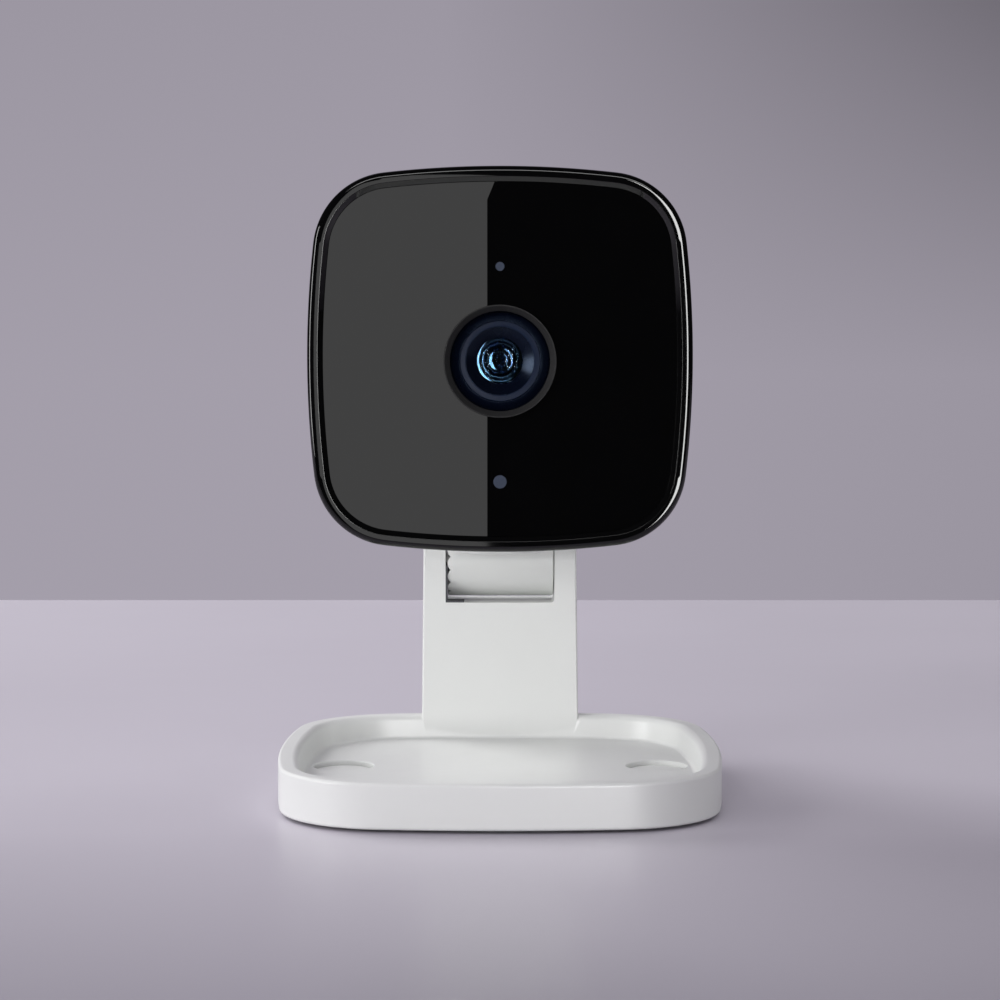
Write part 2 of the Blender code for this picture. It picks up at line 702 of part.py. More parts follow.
def make_base_pieces():
    ceiling = TRAY_FLOOR - FLOOR_THICKNESS
    inset = FOOT_INSET + FIT_GAP
    weight_top = ceiling - FIT_GAP
    weight = swept(
        "base_weight",
        base_outline,
        [(inset, weight_top - WEIGHT_THICKNESS), (inset, weight_top)],
    )
    pad = swept("foot_pad", base_outline, [(inset, 0), (inset, FOOT_HEIGHT)])
    for side in (-1, 1):
        place = (side * PLUG_SIDE, PLUG_BACK, -CUT_MARGIN)
        round_boss = disc("boss_clearance", SCREW_BOSS_RADIUS + FIT_GAP, 2 * TRAY_FLOOR)
        round_boss.location = place
        cut(weight, round_boss)
        pad_hole = disc("pad_hole", WALL_SCREW_RADIUS + FIT_GAP, 2 * TRAY_FLOOR, SMALL_STEPS)
        pad_hole.location = place
        cut(pad, pad_hole)
        plug = turned(
            "screw_plug_left" if side < 0 else "screw_plug_right",
            [
                (0, PLUG_THICKNESS),
                (POCKET_RADIUS - 2 * FIT_GAP, PLUG_THICKNESS),
                (POCKET_RADIUS - FIT_GAP, PLUG_THICKNESS - FIT_GAP / 2),
                (POCKET_RADIUS - FIT_GAP, 0),
                (0, 0),
            ],
        )
        plug.location = (
            side * PLUG_SIDE,
            PLUG_BACK,
            TRAY_FLOOR - POCKET_DEPTH + FIT_GAP,
        )
        finish_piece(plug, WHITE, None)
    finish_piece(weight, STEEL, None)
    finish_piece(pad, RUBBER, None)


def make_hinge_pin():
    length = 2 * (EAR_FACE_X - PIN_CAP_THICKNESS - 2 * FIT_GAP)
    pin = turned(
        "hinge_pin",
        [
            (0, length / 2),
            (PIN_RADIUS - PIN_EDGE, length / 2),
            (PIN_RADIUS, length / 2 - PIN_EDGE),
            (PIN_RADIUS, -length / 2 + PIN_EDGE),
            (PIN_RADIUS - PIN_EDGE, -length / 2),
            (0, -length / 2),
        ],
        SMALL_STEPS,
    )
    across(pin, 0, HINGE_Y, HINGE_HEIGHT)
    finish_piece(pin, STEEL, None)
    for side in (-1, 1):
        cap = turned(
            "pin_cap_left" if side < 0 else "pin_cap_right",
            [
                (0, PIN_CAP_THICKNESS),
                (PIN_CAP_RADIUS - PIN_CAP_EDGE, PIN_CAP_THICKNESS),
                (PIN_CAP_RADIUS, PIN_CAP_THICKNESS - PIN_CAP_EDGE),
                (PIN_CAP_RADIUS, 0),
                (0, 0),
            ],
        )
        across(cap, side * (EAR_FACE_X - PIN_CAP_THICKNESS), HINGE_Y, HINGE_HEIGHT)
        cap.rotation_euler = (0, side * math.pi / 2, 0)
        finish_piece(cap, WHITE, None)


# The neck


def make_neck():
    """The hinge barrel, with a bar that runs forward under the head to the swivel boss."""
    core = BARREL_LENGTH - CLICK_RING_LENGTH - FIT_GAP
    neck = turned(
        "hinge_neck",
        [
            (KNUCKLE_RADIUS - BARREL_EDGE, core),
            (KNUCKLE_RADIUS, core - BARREL_EDGE),
            (KNUCKLE_RADIUS, 0),
            (PIN_RADIUS + FIT_GAP, 0),
            (PIN_RADIUS + FIT_GAP, core),
        ],
        LENS_STEPS,
    )
    across(neck, BARREL_LENGTH / 2 - core, HINGE_Y, HINGE_HEIGHT)
    top = HINGE_HEIGHT + KNUCKLE_RADIUS - NECK_TOP_STEP
    root_y = HINGE_Y - KNUCKLE_RADIUS * NECK_ROOT_REACH
    side_view = [
        (root_y, top - NECK_ROOT),
        (root_y, top),
        (PAN_Y, top),
        (PAN_Y, top - NECK_TIP - (NECK_ROOT - NECK_TIP) * NECK_TIP_SLOPE),
    ]
    bar = prism("neck_bar", side_view, NECK_WIDTH)
    bar.matrix_world = Matrix(((0, 0, 1, -NECK_WIDTH / 2), (1, 0, 0, 0), (0, 1, 0, 0), (0, 0, 0, 1)))
    boss_top = SHELL_BOTTOM_Z - FIT_GAP
    boss_foot = top - NECK_TIP - SWIVEL_BOSS_DROP
    boss = disc("swivel_boss", SWIVEL_RADIUS, boss_top - boss_foot)
    boss.location = (0, PAN_Y, boss_foot)
    join(neck, bar, boss)
    hole = disc("swivel_screw_hole", SWIVEL_SCREW_RADIUS + FIT_GAP, HOLE_REACH, SMALL_STEPS)
    hole.location = (0, PAN_Y, boss_top - SWIVEL_HOLE_DROP)
    cut(neck, hole)
    finish_piece(neck, WHITE, TILT)


def make_click_ring():
    """A ring at the barrel's left end, notched so that the spring clicks as the head tilts."""
    inner = KNUCKLE_RADIUS - CLICK_RING_WALL
    ring = tube("click_ring", KNUCKLE_RADIUS, inner, CLICK_RING_LENGTH, LENS_STEPS)
    across(ring, -BARREL_LENGTH / 2, HINGE_Y, HINGE_HEIGHT)
    half = KNUCKLE_RADIUS * math.sin(math.pi / CLICK_COUNT) * CLICK_NOTCH_SHARE
    for index in range(CLICK_COUNT):
        notch = prism(
            "click_notch",
            [(-half, -CLICK_DEPTH), (half, -CLICK_DEPTH), (0, CLICK_DEPTH)],
            CLICK_RING_WALL + CUT_MARGIN,
        )
        angle = 2 * math.pi * (index + CLICK_PHASE) / CLICK_COUNT
        outward = Vector((0, -math.cos(angle), math.sin(angle)))
        along = Vector((1, 0, 0))
        sideways = along.cross(outward)
        start = Vector((-BARREL_LENGTH / 2, HINGE_Y, HINGE_HEIGHT))
        start += outward * (inner - CUT_MARGIN / 2)
        notch.matrix_world = Matrix.Translation(start) @ Matrix(
            (sideways, along, outward)
        ).transposed().to_4x4()
        cut(ring, notch)
    finish_piece(ring, WHITE, TILT)


# The swivel under the head


def make_swivel():
    stem_top = SHELL_BOTTOM_Z + SWIVEL_STEM
    flange_top = stem_top + SWIVEL_FLANGE_THICKNESS
    washer_foot = flange_top + FIT_GAP
    head_foot = washer_foot + WASHER_THICKNESS + FIT_GAP
    plate = turned(
        "swivel_disc",
        [
            (SWIVEL_FLANGE, flange_top),
            (SWIVEL_FLANGE, stem_top),
            (SWIVEL_RADIUS, stem_top),
            (SWIVEL_RADIUS, SHELL_BOTTOM_Z),
            (SWIVEL_SCREW_RADIUS + FIT_GAP, SHELL_BOTTOM_Z),
            (SWIVEL_SCREW_RADIUS + FIT_GAP, flange_top),
        ],
    )
    washer = tube(
        "swivel_washer", SWIVEL_SCREW_HEAD, SWIVEL_SCREW_RADIUS + FIT_GAP, WASHER_THICKNESS
    )
    screw = turned(
        "swivel_screw",
        screw_profile(
            SWIVEL_SCREW_HEAD,
            SWIVEL_SCREW_HEAD_HEIGHT,
            SWIVEL_SCREW_RADIUS,
            head_foot - SHELL_BOTTOM_Z + SWIVEL_SCREW_REACH,
        ),
    )
    plate.location = (0, PAN_Y, 0)
    washer.location = (0, PAN_Y, washer_foot)
    screw.location = (0, PAN_Y, head_foot)
    finish_piece(plate, WHITE, PAN)
    finish_piece(washer, STEEL, PAN)
    finish_piece(screw, STEEL, PAN)


# The head's case


def make_bezel():
    centre = (BEZEL_EDGE_RADIUS, BEZEL_EDGE_RADIUS)
    edge = [(inset, -depth) for inset, depth in arc(centre, BEZEL_EDGE_RADIUS, 180, 270, 3)]
    ledge_back = LEDGE_FRONT + BEZEL_LEDGE_THICKNESS
    profile = [(0, -BEZEL_DEPTH)] + edge
    profile += [
        (BEZEL_LIP, 0),
        (BEZEL_RIM, -WINDOW_SETBACK),
        (BEZEL_RIM, -LEDGE_FRONT),
        (BEZEL_LEDGE, -LEDGE_FRONT),
        (BEZEL_LEDGE, -ledge_back),
        (BEZEL_SKIRT, -ledge_back),
        (BEZEL_SKIRT, -BEZEL_DEPTH),
    ]
    bezel = on_head(swept("front_bezel", head_outline, profile, ring=True))
    finish_piece(bezel, GLOSS_BLACK, PAN)


def make_window():
    inset = BEZEL_RIM + FIT_GAP
    window = swept(
        "front_window",
        head_outline,
        [
            (inset, -WINDOW_BACK),
            (inset, -WINDOW_SETBACK - WINDOW_EDGE),
            (inset + WINDOW_EDGE, -WINDOW_SETBACK),
        ],
    )
    lens_hole = disc("lens_hole", TRIM_TUBE_RADIUS + FIT_GAP, HOLE_REACH, LENS_STEPS)
    on_head(window)
    cut(window, on_head(lens_hole, z=-LENS_DROP, depth=WINDOW_BACK + HOLE_REACH / 2))
    finish_piece(window, TINTED, PAN)


def make_gasket():
    inset = BEZEL_SKIRT + FIT_GAP
    front = BEZEL_DEPTH - GASKET_LAP
    gasket = swept(
        "bezel_gasket",
        head_outline,
        [
            (inset, -front),
            (inset + GASKET_WIDTH, -front),
            (inset + GASKET_WIDTH, -front - GASKET_DEPTH),
            (inset, -front - GASKET_DEPTH),
        ],
        ring=True,
    )
    finish_piece(on_head(gasket), RUBBER, PAN)


def shell_profile(inset, front, back, radius, lip):
    """One side of the shell: straight from the front, then round the back edge to a flat lip."""
    turn = arc((inset + radius, -back + radius), radius, 180, 270, 4)
    return [(inset, -front)] + turn + [(inset + radius + lip, -back)]


def make_shell():
    front = BEZEL_DEPTH + FIT_GAP
    outside = shell_profile(SHELL_INSET, front, HEAD_DEPTH, SHELL_BACK_RADIUS, SHELL_BACK_LIP)
    inner_radius = SHELL_BACK_RADIUS - SHELL_WALL
    inside = shell_profile(
        SHELL_INSET + SHELL_WALL, front, HEAD_DEPTH - SHELL_WALL, inner_radius, SHELL_BACK_LIP
    )
    shell = on_head(swept("head_shell", head_outline, outside + inside[::-1], ring=True))
    swivel_hole = disc("swivel_hole", SWIVEL_RADIUS + FIT_GAP, 4 * SHELL_WALL)
    swivel_hole.location = (0, PAN_Y, SHELL_BOTTOM_Z - 2 * SHELL_WALL)
    card_slot = block("card_slot_hole", (4 * SHELL_WALL, CARD_SLOT, CARD_WIDTH - 2 * FIT_GAP))
    card_slot.location = (
        -HEAD_WIDTH / 2,
        HEAD_FRONT_Y + MAIN_BOARD_BACK + FIT_GAP + CARD_SOCKET_DEPTH / 2,
        HEAD_Z - CARD_DROP - CARD_WIDTH / 2 + FIT_GAP,
    )
    cut(shell, swivel_hole, card_slot)
    finish_piece(shell, WHITE, PAN)


def cover_screw_places():
    return [(-COVER_SCREW_SIDE, COVER_SCREW_RISE), (COVER_SCREW_SIDE, COVER_SCREW_RISE)]


def grille_places():
    """The middle hole and rings of holes round it, six more in each ring."""
    places = [(0, SPEAKER_RISE)]
    for ring in range(1, GRILLE_RINGS + 1):
        for index in range(6 * ring):
            angle = 2 * math.pi * index / (6 * ring)
            places.append(
                (
                    ring * GRILLE_PITCH * math.cos(angle),
                    SPEAKER_RISE + ring * GRILLE_PITCH * math.sin(angle),
                )
            )
    return places


def make_back_cover():
    inset = SHELL_INSET + SHELL_BACK_RADIUS + SHELL_BACK_LIP + FIT_GAP
    cover = swept(
        "back_cover",
        head_outline,
        [
            (inset + COVER_EDGE, -HEAD_DEPTH),
            (inset, -HEAD_DEPTH + COVER_EDGE),
            (inset, -COVER_FRONT),
        ],
    )
    on_head(cover)
    tools = []
    for x, z in grille_places():
        hole = disc("grille_hole", GRILLE_HOLE, COVER_THICKNESS + 2 * CUT_MARGIN, 6)
        tools.append(on_head(hole, x, z, HEAD_DEPTH + CUT_MARGIN))
    for x, z in cover_screw_places():
        hole = disc("cover_screw_hole", SMALL_SCREW_RADIUS + FIT_GAP, 4 * CUT_MARGIN, SMALL_STEPS)
        recess_depth = SMALL_HEAD_HEIGHT + CUT_MARGIN
        recess = disc("cover_screw_recess", SMALL_HEAD_RADIUS + FIT_GAP, recess_depth)
        tools.append(on_head(hole, x, z, HEAD_DEPTH + CUT_MARGIN))
        tools.append(on_head(recess, x, z, HEAD_DEPTH + CUT_MARGIN))
    button_hole = disc("button_hole", BUTTON_RADIUS + FIT_GAP, COVER_THICKNESS + 2 * CUT_MARGIN)
    tools.append(on_head(button_hole, BUTTON_SIDE, -BUTTON_DROP, HEAD_DEPTH + CUT_MARGIN))
    inlet_hole = prism(
        "inlet_hole",
        capsule(INLET_WIDTH + 2 * FIT_GAP, INLET_HEIGHT + 2 * FIT_GAP),
        COVER_THICKNESS + 2 * CUT_MARGIN,
    )
    tools.append(on_head(inlet_hole, 0, -INLET_DROP, HEAD_DEPTH + CUT_MARGIN))
    cut(cover, *tools)
    finish_piece(cover, WHITE, PAN)
    for index, (x, z) in enumerate(cover_screw_places(), start=1):
        screw = turned(
            f"cover_screw_{index}",
            screw_profile(
                SMALL_HEAD_RADIUS, SMALL_HEAD_HEIGHT, SMALL_SCREW_RADIUS, COVER_SCREW_LENGTH
            ),
            SMALL_STEPS,
        )
        on_head(screw, x, z, HEAD_DEPTH - SMALL_HEAD_HEIGHT + FIT_GAP)
        screw.rotation_euler = (-math.pi / 2, 0, 0)
        finish_piece(screw, STEEL, PAN)


# The lens


def make_trim_ring():
    profile = [
        (TRIM_FLANGE_RADIUS - TRIM_EDGE, TRIM_PROUD),
        (TRIM_FLANGE_RADIUS, TRIM_PROUD - TRIM_EDGE),
        (TRIM_FLANGE_RADIUS, TRIM_PROUD - TRIM_FLANGE_THICKNESS),
        (TRIM_TUBE_RADIUS, TRIM_PROUD - TRIM_FLANGE_THICKNESS),
        (TRIM_TUBE_RADIUS, -TRIM_LENGTH),
        (TRIM_INNER_RADIUS, -TRIM_LENGTH),
        (TRIM_INNER_RADIUS, TRIM_PROUD - TRIM_CONE_DEPTH),
        (TRIM_FLANGE_RADIUS - TRIM_FACE, TRIM_PROUD),
    ]
    ring = turned("lens_trim_ring", profile, LENS_STEPS)
    finish_piece(on_head(ring, z=-LENS_DROP), CHARCOAL, PAN)


def make_lens_barrel():
    seat = RETAINER_OUTER + FIT_GAP
    seat_depth = LENS_FRONT + RETAINER_DEPTH + 2 * FIT_GAP
    lip_front = seat_depth + LENS_CONE_DEPTH
    lip_back = lip_front + LENS_LIP_THICKNESS
    profile = [
        (LENS_FLANGE_RADIUS - LENS_EDGE, -LENS_FRONT),
        (LENS_FLANGE_RADIUS, -LENS_FRONT - LENS_EDGE),
        (LENS_FLANGE_RADIUS, -LENS_FRONT - LENS_FLANGE_LENGTH),
        (LENS_THREAD_RADIUS, -LENS_FRONT - LENS_FLANGE_LENGTH),
        (LENS_THREAD_RADIUS, -LENS_BACK),
        (LENS_BORE, -LENS_BACK),
        (LENS_BORE, -lip_back),
        (LENS_LIP, -lip_back),
        (LENS_LIP, -lip_front),
        (RETAINER_INNER - FIT_GAP / 2, -seat_depth),
        (seat, -seat_depth),
        (seat, -LENS_FRONT - LENS_SEAT_EDGE),
    ]
    barrel = turned("lens_barrel", profile, LENS_STEPS)
    finish_piece(on_head(barrel, z=-LENS_DROP), LENS_BLUE, PAN)
    ring = turned(
        "lens_retaining_ring",
        [
            (RETAINER_OUTER - RETAINER_EDGE, 0),
            (RETAINER_OUTER, -RETAINER_EDGE),
            (RETAINER_OUTER, -RETAINER_DEPTH),
            (RETAINER_INNER, -RETAINER_DEPTH),
            (RETAINER_INNER, -RETAINER_SLOPE),
        ],
        LENS_STEPS,
    )
    on_head(ring, z=-LENS_DROP, depth=seat_depth - FIT_GAP - RETAINER_DEPTH)
    finish_piece(ring, SLATE, PAN)
    return lip_back


def make_glass(name, front, front_bulge, back_bulge):
    """A round glass element whose faces are shallow domes; front is the depth of its front rim."""
    radius = LENS_BORE - FIT_GAP

    def dome(bulge):
        sphere = (radius**2 + bulge**2) / (2 * bulge)
        points = []
        for step in range(DOME_STEPS + 1):
            reach = radius * step / DOME_STEPS
            points.append((reach, math.sqrt(sphere**2 - reach**2) - sphere + bulge))
        return points

    profile = [(reach, height) for reach, height in dome(front_bulge)]
    profile += [(reach, -GLASS_EDGE - height) for reach, height in reversed(dome(back_bulge))]
    glass = turned(name, profile, ROUND_STEPS)
    finish_piece(on_head(glass, z=-LENS_DROP, depth=front), GLASS, PAN)
    return front + GLASS_EDGE + back_bulge


def make_lens():
    make_trim_ring()
    lip_back = make_lens_barrel()
    back = make_glass("front_lens_element", lip_back + FIT_GAP, GLASS_BULGE, GLASS_BACK_BULGE)
    stop_front = back + FIT_GAP
    stop = turned(
        "aperture_stop",
        [
            (LENS_BORE - FIT_GAP, 0),
            (LENS_BORE - FIT_GAP, -STOP_THICKNESS),
            (PUPIL_RADIUS, -STOP_THICKNESS),
            (PUPIL_RADIUS + PUPIL_SLOPE, 0),
        ],
    )
    finish_piece(on_head(stop, z=-LENS_DROP, depth=stop_front), MATTE_BLACK, PAN)
    second = stop_front + STOP_THICKNESS + FIT_GAP + INNER_GLASS_BULGE
    back = make_glass("inner_lens_element", second, INNER_GLASS_BULGE, GLASS_BACK_BULGE)
    third = back + FIT_GAP + REAR_GLASS_SPACE
    make_glass("rear_lens_element", third, INNER_GLASS_BULGE, REAR_GLASS_BULGE)


def holder_screw_places():
    return [-HOLDER_SCREW_SPACING / 2, HOLDER_SCREW_SPACING / 2]


def make_sensor_group():
    """The lens holder with the filter and image sensor inside it, on the sensor board."""
    flange_front = HOLDER_FRONT + HOLDER_TUBE_LENGTH
    holder = block("lens_holder", (HOLDER_WIDTH, HOLDER_HEIGHT, HOLDER_FLANGE), BOX_EDGE)
    on_head(holder, z=-LENS_DROP, depth=HOLDER_BACK)
    barrel = disc("holder_tube", HOLDER_TUBE, HOLDER_TUBE_LENGTH + HOLDER_OVERLAP)
    on_head(barrel, z=-LENS_DROP, depth=flange_front + HOLDER_OVERLAP)
    join(holder, barrel)
    bore = disc("holder_bore", LENS_THREAD_RADIUS + FIT_GAP, HOLDER_TUBE_LENGTH + CUT_MARGIN)
    on_head(bore, z=-LENS_DROP, depth=flange_front)
    chamber = block("sensor_chamber", (SENSOR_WINDOW, SENSOR_WINDOW, 2 * HOLDER_FLANGE))
    on_head(chamber, z=-LENS_DROP, depth=HOLDER_BACK + HOLDER_FLANGE / 2)
    cut(holder, bore, chamber)
    board = block("sensor_board", (SENSOR_BOARD_WIDTH, SENSOR_BOARD_HEIGHT, BOARD_THICKNESS))
    on_head(board, z=-LENS_DROP, depth=SENSOR_BOARD_FRONT + BOARD_THICKNESS)
    for index, x in enumerate(holder_screw_places(), start=1):
        length = BOARD_THICKNESS + HOLDER_FLANGE + SENSOR_SCREW_REACH
        for piece in (holder, board):
            hole = disc("sensor_screw_hole", SMALL_SCREW_RADIUS + FIT_GAP, HOLE_REACH, SMALL_STEPS)
            on_head(hole, x, -LENS_DROP, SENSOR_BOARD_FRONT + HOLE_REACH / 2)
            cut(piece, hole)
        screw = turned(
            f"sensor_board_screw_{index}",
            screw_profile(SMALL_HEAD_RADIUS, SMALL_HEAD_HEIGHT, SMALL_SCREW_RADIUS, length),
            SMALL_STEPS,
        )
        on_head(screw, x, -LENS_DROP, SENSOR_BOARD_FRONT + BOARD_THICKNESS + FIT_GAP)
        screw.rotation_euler = (-math.pi / 2, 0, 0)
        finish_piece(screw, STEEL, PAN)
    infrared_back = LENS_BACK + FIT_GAP + FILTER_THICKNESS
    infrared = block("infrared_filter", (FILTER_SIZE, FILTER_SIZE, FILTER_THICKNESS))
    on_head(infrared, z=-LENS_DROP, depth=infrared_back)
    room = SENSOR_BOARD_FRONT - FIT_GAP - (infrared_back + FIT_GAP)
    sensor = block("image_sensor", (SENSOR_WIDTH, SENSOR_HEIGHT, min(SENSOR_THICKNESS, room)))
    on_head(sensor, z=-LENS_DROP, depth=SENSOR_BOARD_FRONT - FIT_GAP)
    finish_piece(holder, MATTE_BLACK, PAN)
    finish_piece(board, BOARD_GREEN, PAN)
    finish_piece(infrared, GLASS, PAN)
    finish_piece(sensor, SENSOR, PAN)


# Electronics


def make_lamp_board():
    board = swept(
        "lamp_board",
        head_outline,
        [
            (LAMP_BOARD_INSET, -LAMP_BOARD_FRONT - BOARD_THICKNESS),
            (LAMP_BOARD_INSET, -LAMP_BOARD_FRONT),
        ],
    )
    on_head(board)
    lens_hole = disc("board_lens_hole", TRIM_TUBE_RADIUS + FIT_GAP, HOLE_REACH)
    cut(board, on_head(lens_hole, z=-LENS_DROP, depth=LAMP_BOARD_FRONT + HOLE_REACH / 2))
    finish_piece(board, BOARD_GREEN, PAN)
    seat = LAMP_BOARD_FRONT - FIT_GAP
    for index, (side, rise) in enumerate(((-1, 1), (1, 1), (-1, -1), (1, -1)), start=1):
        lamp = block(f"infrared_lamp_{index}", (LAMP_SIZE, LAMP_SIZE, LAMP_HEIGHT), LAMP_EDGE)
        on_head(lamp, side * LAMP_SIDE, rise * LAMP_SIDE, seat)
        finish_piece(lamp, LAMP, PAN)
    pipe_length = LAMP_HEIGHT + STATUS_LAMP_PROUD
    pipe = disc("status_light_pipe", STATUS_LAMP_RADIUS, pipe_length, SMALL_STEPS)
    finish_piece(on_head(pipe, z=STATUS_LAMP_HEIGHT, depth=seat), LAMP, PAN)
    light_sensor = block(
        "light_sensor", (LIGHT_SENSOR_SIZE, LIGHT_SENSOR_SIZE, LAMP_HEIGHT), LAMP_EDGE
    )
    finish_piece(on_head(light_sensor, z=-LIGHT_SENSOR_DROP, depth=seat), SENSOR, PAN)
    microphone = block("microphone", MICROPHONE_SIZE, MICROPHONE_EDGE)
    microphone_back = LAMP_BOARD_FRONT + BOARD_THICKNESS + FIT_GAP + MICROPHONE_SIZE[2]
    on_head(microphone, 0, MICROPHONE_RISE - LIGHT_SENSOR_DROP, microphone_back)
    finish_piece(microphone, STEEL, PAN)


def make_main_board():
    """The main board: the head's outline, cut off straight above the swivel."""
    board = swept(
        "main_board",
        head_outline,
        [(MAIN_BOARD_INSET, -MAIN_BOARD_BACK), (MAIN_BOARD_INSET, -MAIN_BOARD_FRONT)],
    )
    on_head(board)
    foot = block("board_foot_cut", (2 * HEAD_WIDTH, 4 * MAIN_BOARD_THICKNESS, MAIN_BOARD_FOOT))
    foot.location = (0, HEAD_FRONT_Y + MAIN_BOARD_BACK, HEAD_Z - HEAD_HEIGHT / 2)
    cut(board, foot)
    finish_piece(board, BOARD_GREEN, PAN)
    shield_back = MAIN_BOARD_FRONT - FIT_GAP
    shield = block("shield_can", (SHIELD_WIDTH, SHIELD_HEIGHT, SHIELD_DEPTH), BOX_EDGE)
    finish_piece(on_head(shield, z=SHIELD_RISE, depth=shield_back), STEEL, PAN)
    spreader_back = shield_back - SHIELD_DEPTH - FIT_GAP
    spreader_size = (SPREADER_WIDTH, SPREADER_HEIGHT, SPREADER_THICKNESS)
    spreader = block("heat_spreader", spreader_size, BOX_EDGE)
    finish_piece(on_head(spreader, z=SHIELD_RISE, depth=spreader_back), ALUMINIUM, PAN)
    aerial = block("wireless_aerial", AERIAL_SIZE)
    inner_top = HEAD_HEIGHT / 2 - SHELL_INSET - SHELL_WALL
    on_head(aerial, z=inner_top - AERIAL_DROP, depth=AERIAL_BACK)
    finish_piece(aerial, BOARD_GREEN, PAN)
    socket_size = (CARD_SOCKET_LENGTH, CARD_WIDTH, CARD_SOCKET_DEPTH)
    socket = block("card_socket", socket_size, SOCKET_EDGE)
    wall = HEAD_WIDTH / 2 - SHELL_INSET - SHELL_WALL
    socket_x = -wall + CARD_SETBACK + CARD_SOCKET_LENGTH / 2
    seat = MAIN_BOARD_BACK + FIT_GAP
    on_head(socket, socket_x, -CARD_DROP, seat + CARD_SOCKET_DEPTH)
    finish_piece(socket, STEEL, PAN)


def make_speaker():
    speaker_back = SPEAKER_FRONT + SPEAKER_DEPTH
    gasket_back = COVER_FRONT - FIT_GAP
    speaker = turned(
        "loudspeaker",
        [
            (0, SPEAKER_DEPTH),
            (SPEAKER_MAGNET, SPEAKER_DEPTH),
            (SPEAKER_MAGNET, SPEAKER_DEPTH / 2),
            (SPEAKER_RADIUS, SPEAKER_DEPTH / 2),
            (SPEAKER_RADIUS, 0),
            (SPEAKER_CONE, 0),
            (SPEAKER_CAP_RADIUS, SPEAKER_CONE_DEPTH),
            (0, SPEAKER_CAP_DEPTH),
        ],
    )
    finish_piece(on_head(speaker, z=SPEAKER_RISE, depth=speaker_back), MATTE_BLACK, PAN)
    gasket = tube("speaker_gasket", SPEAKER_RADIUS, SPEAKER_CONE + FIT_GAP, SPEAKER_GASKET)
    finish_piece(on_head(gasket, z=SPEAKER_RISE, depth=gasket_back), RUBBER, PAN)


def make_inlet():
    """The power inlet: a flat metal tube on the main board, with a tongue inside."""
    front = MAIN_BOARD_BACK + FIT_GAP
    back = HEAD_DEPTH - FIT_GAP
    shell = prism("power_inlet", capsule(INLET_WIDTH, INLET_HEIGHT), back - front)
    on_head(shell, z=-INLET_DROP, depth=back)
    mouth = prism(
        "inlet_mouth",
        capsule(INLET_WIDTH - 2 * INLET_WALL, INLET_HEIGHT - 2 * INLET_WALL),
        back - front,
    )
    on_head(mouth, z=-INLET_DROP, depth=back + INLET_BACK_WALL)
    tongue_length = back - front - INLET_TONGUE_SHORTER
    tongue_size = (INLET_TONGUE_WIDTH, INLET_TONGUE_THICKNESS, tongue_length)
    tongue = block("inlet_tongue", tongue_size)
    on_head(tongue, z=-INLET_DROP, depth=back - INLET_TONGUE_SETBACK)
    cut(shell, mouth)
    join(shell, tongue)
    finish_piece(shell, STEEL, PAN)


def make_button():
    flange_front = -BUTTON_FLANGE_DEPTH - BUTTON_FLANGE_THICKNESS
    button = turned(
        "setup_button",
        [
            (0, 0),
            (BUTTON_RADIUS - BUTTON_EDGE, 0),
            (BUTTON_RADIUS, -BUTTON_EDGE),
            (BUTTON_RADIUS, -BUTTON_FLANGE_DEPTH),
            (BUTTON_FLANGE, -BUTTON_FLANGE_DEPTH),
            (BUTTON_FLANGE, flange_front),
            (BUTTON_TAIL_RADIUS, flange_front),
            (BUTTON_TAIL_RADIUS, -BUTTON_LENGTH),
            (0, -BUTTON_LENGTH),
        ],
    )
    on_head(button, BUTTON_SIDE, -BUTTON_DROP, HEAD_DEPTH + BUTTON_PROUD)
    button.rotation_euler = (-math.pi / 2, 0, 0)
    finish_piece(button, BUTTON_GREY, PAN)
    seat = MAIN_BOARD_BACK + FIT_GAP
    switch = block("button_switch", (SWITCH_SIZE, SWITCH_SIZE, SWITCH_BODY))
    on_head(switch, BUTTON_SIDE, -BUTTON_DROP, seat + SWITCH_BODY)
    plunger = disc("switch_plunger", SWITCH_PLUNGER_RADIUS, SWITCH_PLUNGER, SMALL_STEPS)
    on_head(plunger, BUTTON_SIDE, -BUTTON_DROP, seat + SWITCH_PLUNGER)
    join(switch, plunger)
    finish_piece(switch, MATTE_BLACK, PAN)


clear_scene()
PARTS = new_collection("security_camera")
CUTTERS = new_collection("cutters")

WHITE = new_material("white_plastic", (0.80, 0.80, 0.79), 0.42)
GLOSS_BLACK = new_material("gloss_black_plastic", (0.006, 0.006, 0.007), 0.08)
TINTED = new_material("tinted_window", (0.004, 0.004, 0.005), 0.03)
CHARCOAL = new_material("charcoal_ring", (0.035, 0.035, 0.037), 0.35)
LENS_BLUE = new_material("lens_barrel_black", (0.006, 0.008, 0.016), 0.25)
SLATE = new_material("slate_ring", (0.05, 0.06, 0.10), 0.3, 0.5)
GLASS = new_material("lens_glass", (0.65, 0.75, 0.9), 0.02, 0.0, 1.0)
MATTE_BLACK = new_material("matte_black_plastic", (0.015, 0.015, 0.015), 0.6)
RUBBER = new_material("black_rubber", (0.02, 0.02, 0.02), 0.8)
STEEL = new_material("bright_steel", (0.6, 0.6, 0.6), 0.3, 1.0)
DARK_STEEL = new_material("dark_spring_steel", (0.06, 0.06, 0.065), 0.4, 1.0)
ALUMINIUM = new_material("aluminium", (0.7, 0.7, 0.71), 0.35, 1.0)
BOARD_GREEN = new_material("circuit_board", (0.02, 0.09, 0.04), 0.45)
SENSOR = new_material("sensor_chip", (0.03, 0.03, 0.05), 0.2)
LAMP = new_material("lamp_resin", (0.15, 0.16, 0.22), 0.2)
BUTTON_GREY = new_material("grey_button", (0.45, 0.45, 0.46), 0.45)

TILT = new_empty("tilt_axis", TILT_CENTRE)
PAN = new_empty("pan_axis", PAN_CENTRE, TILT)

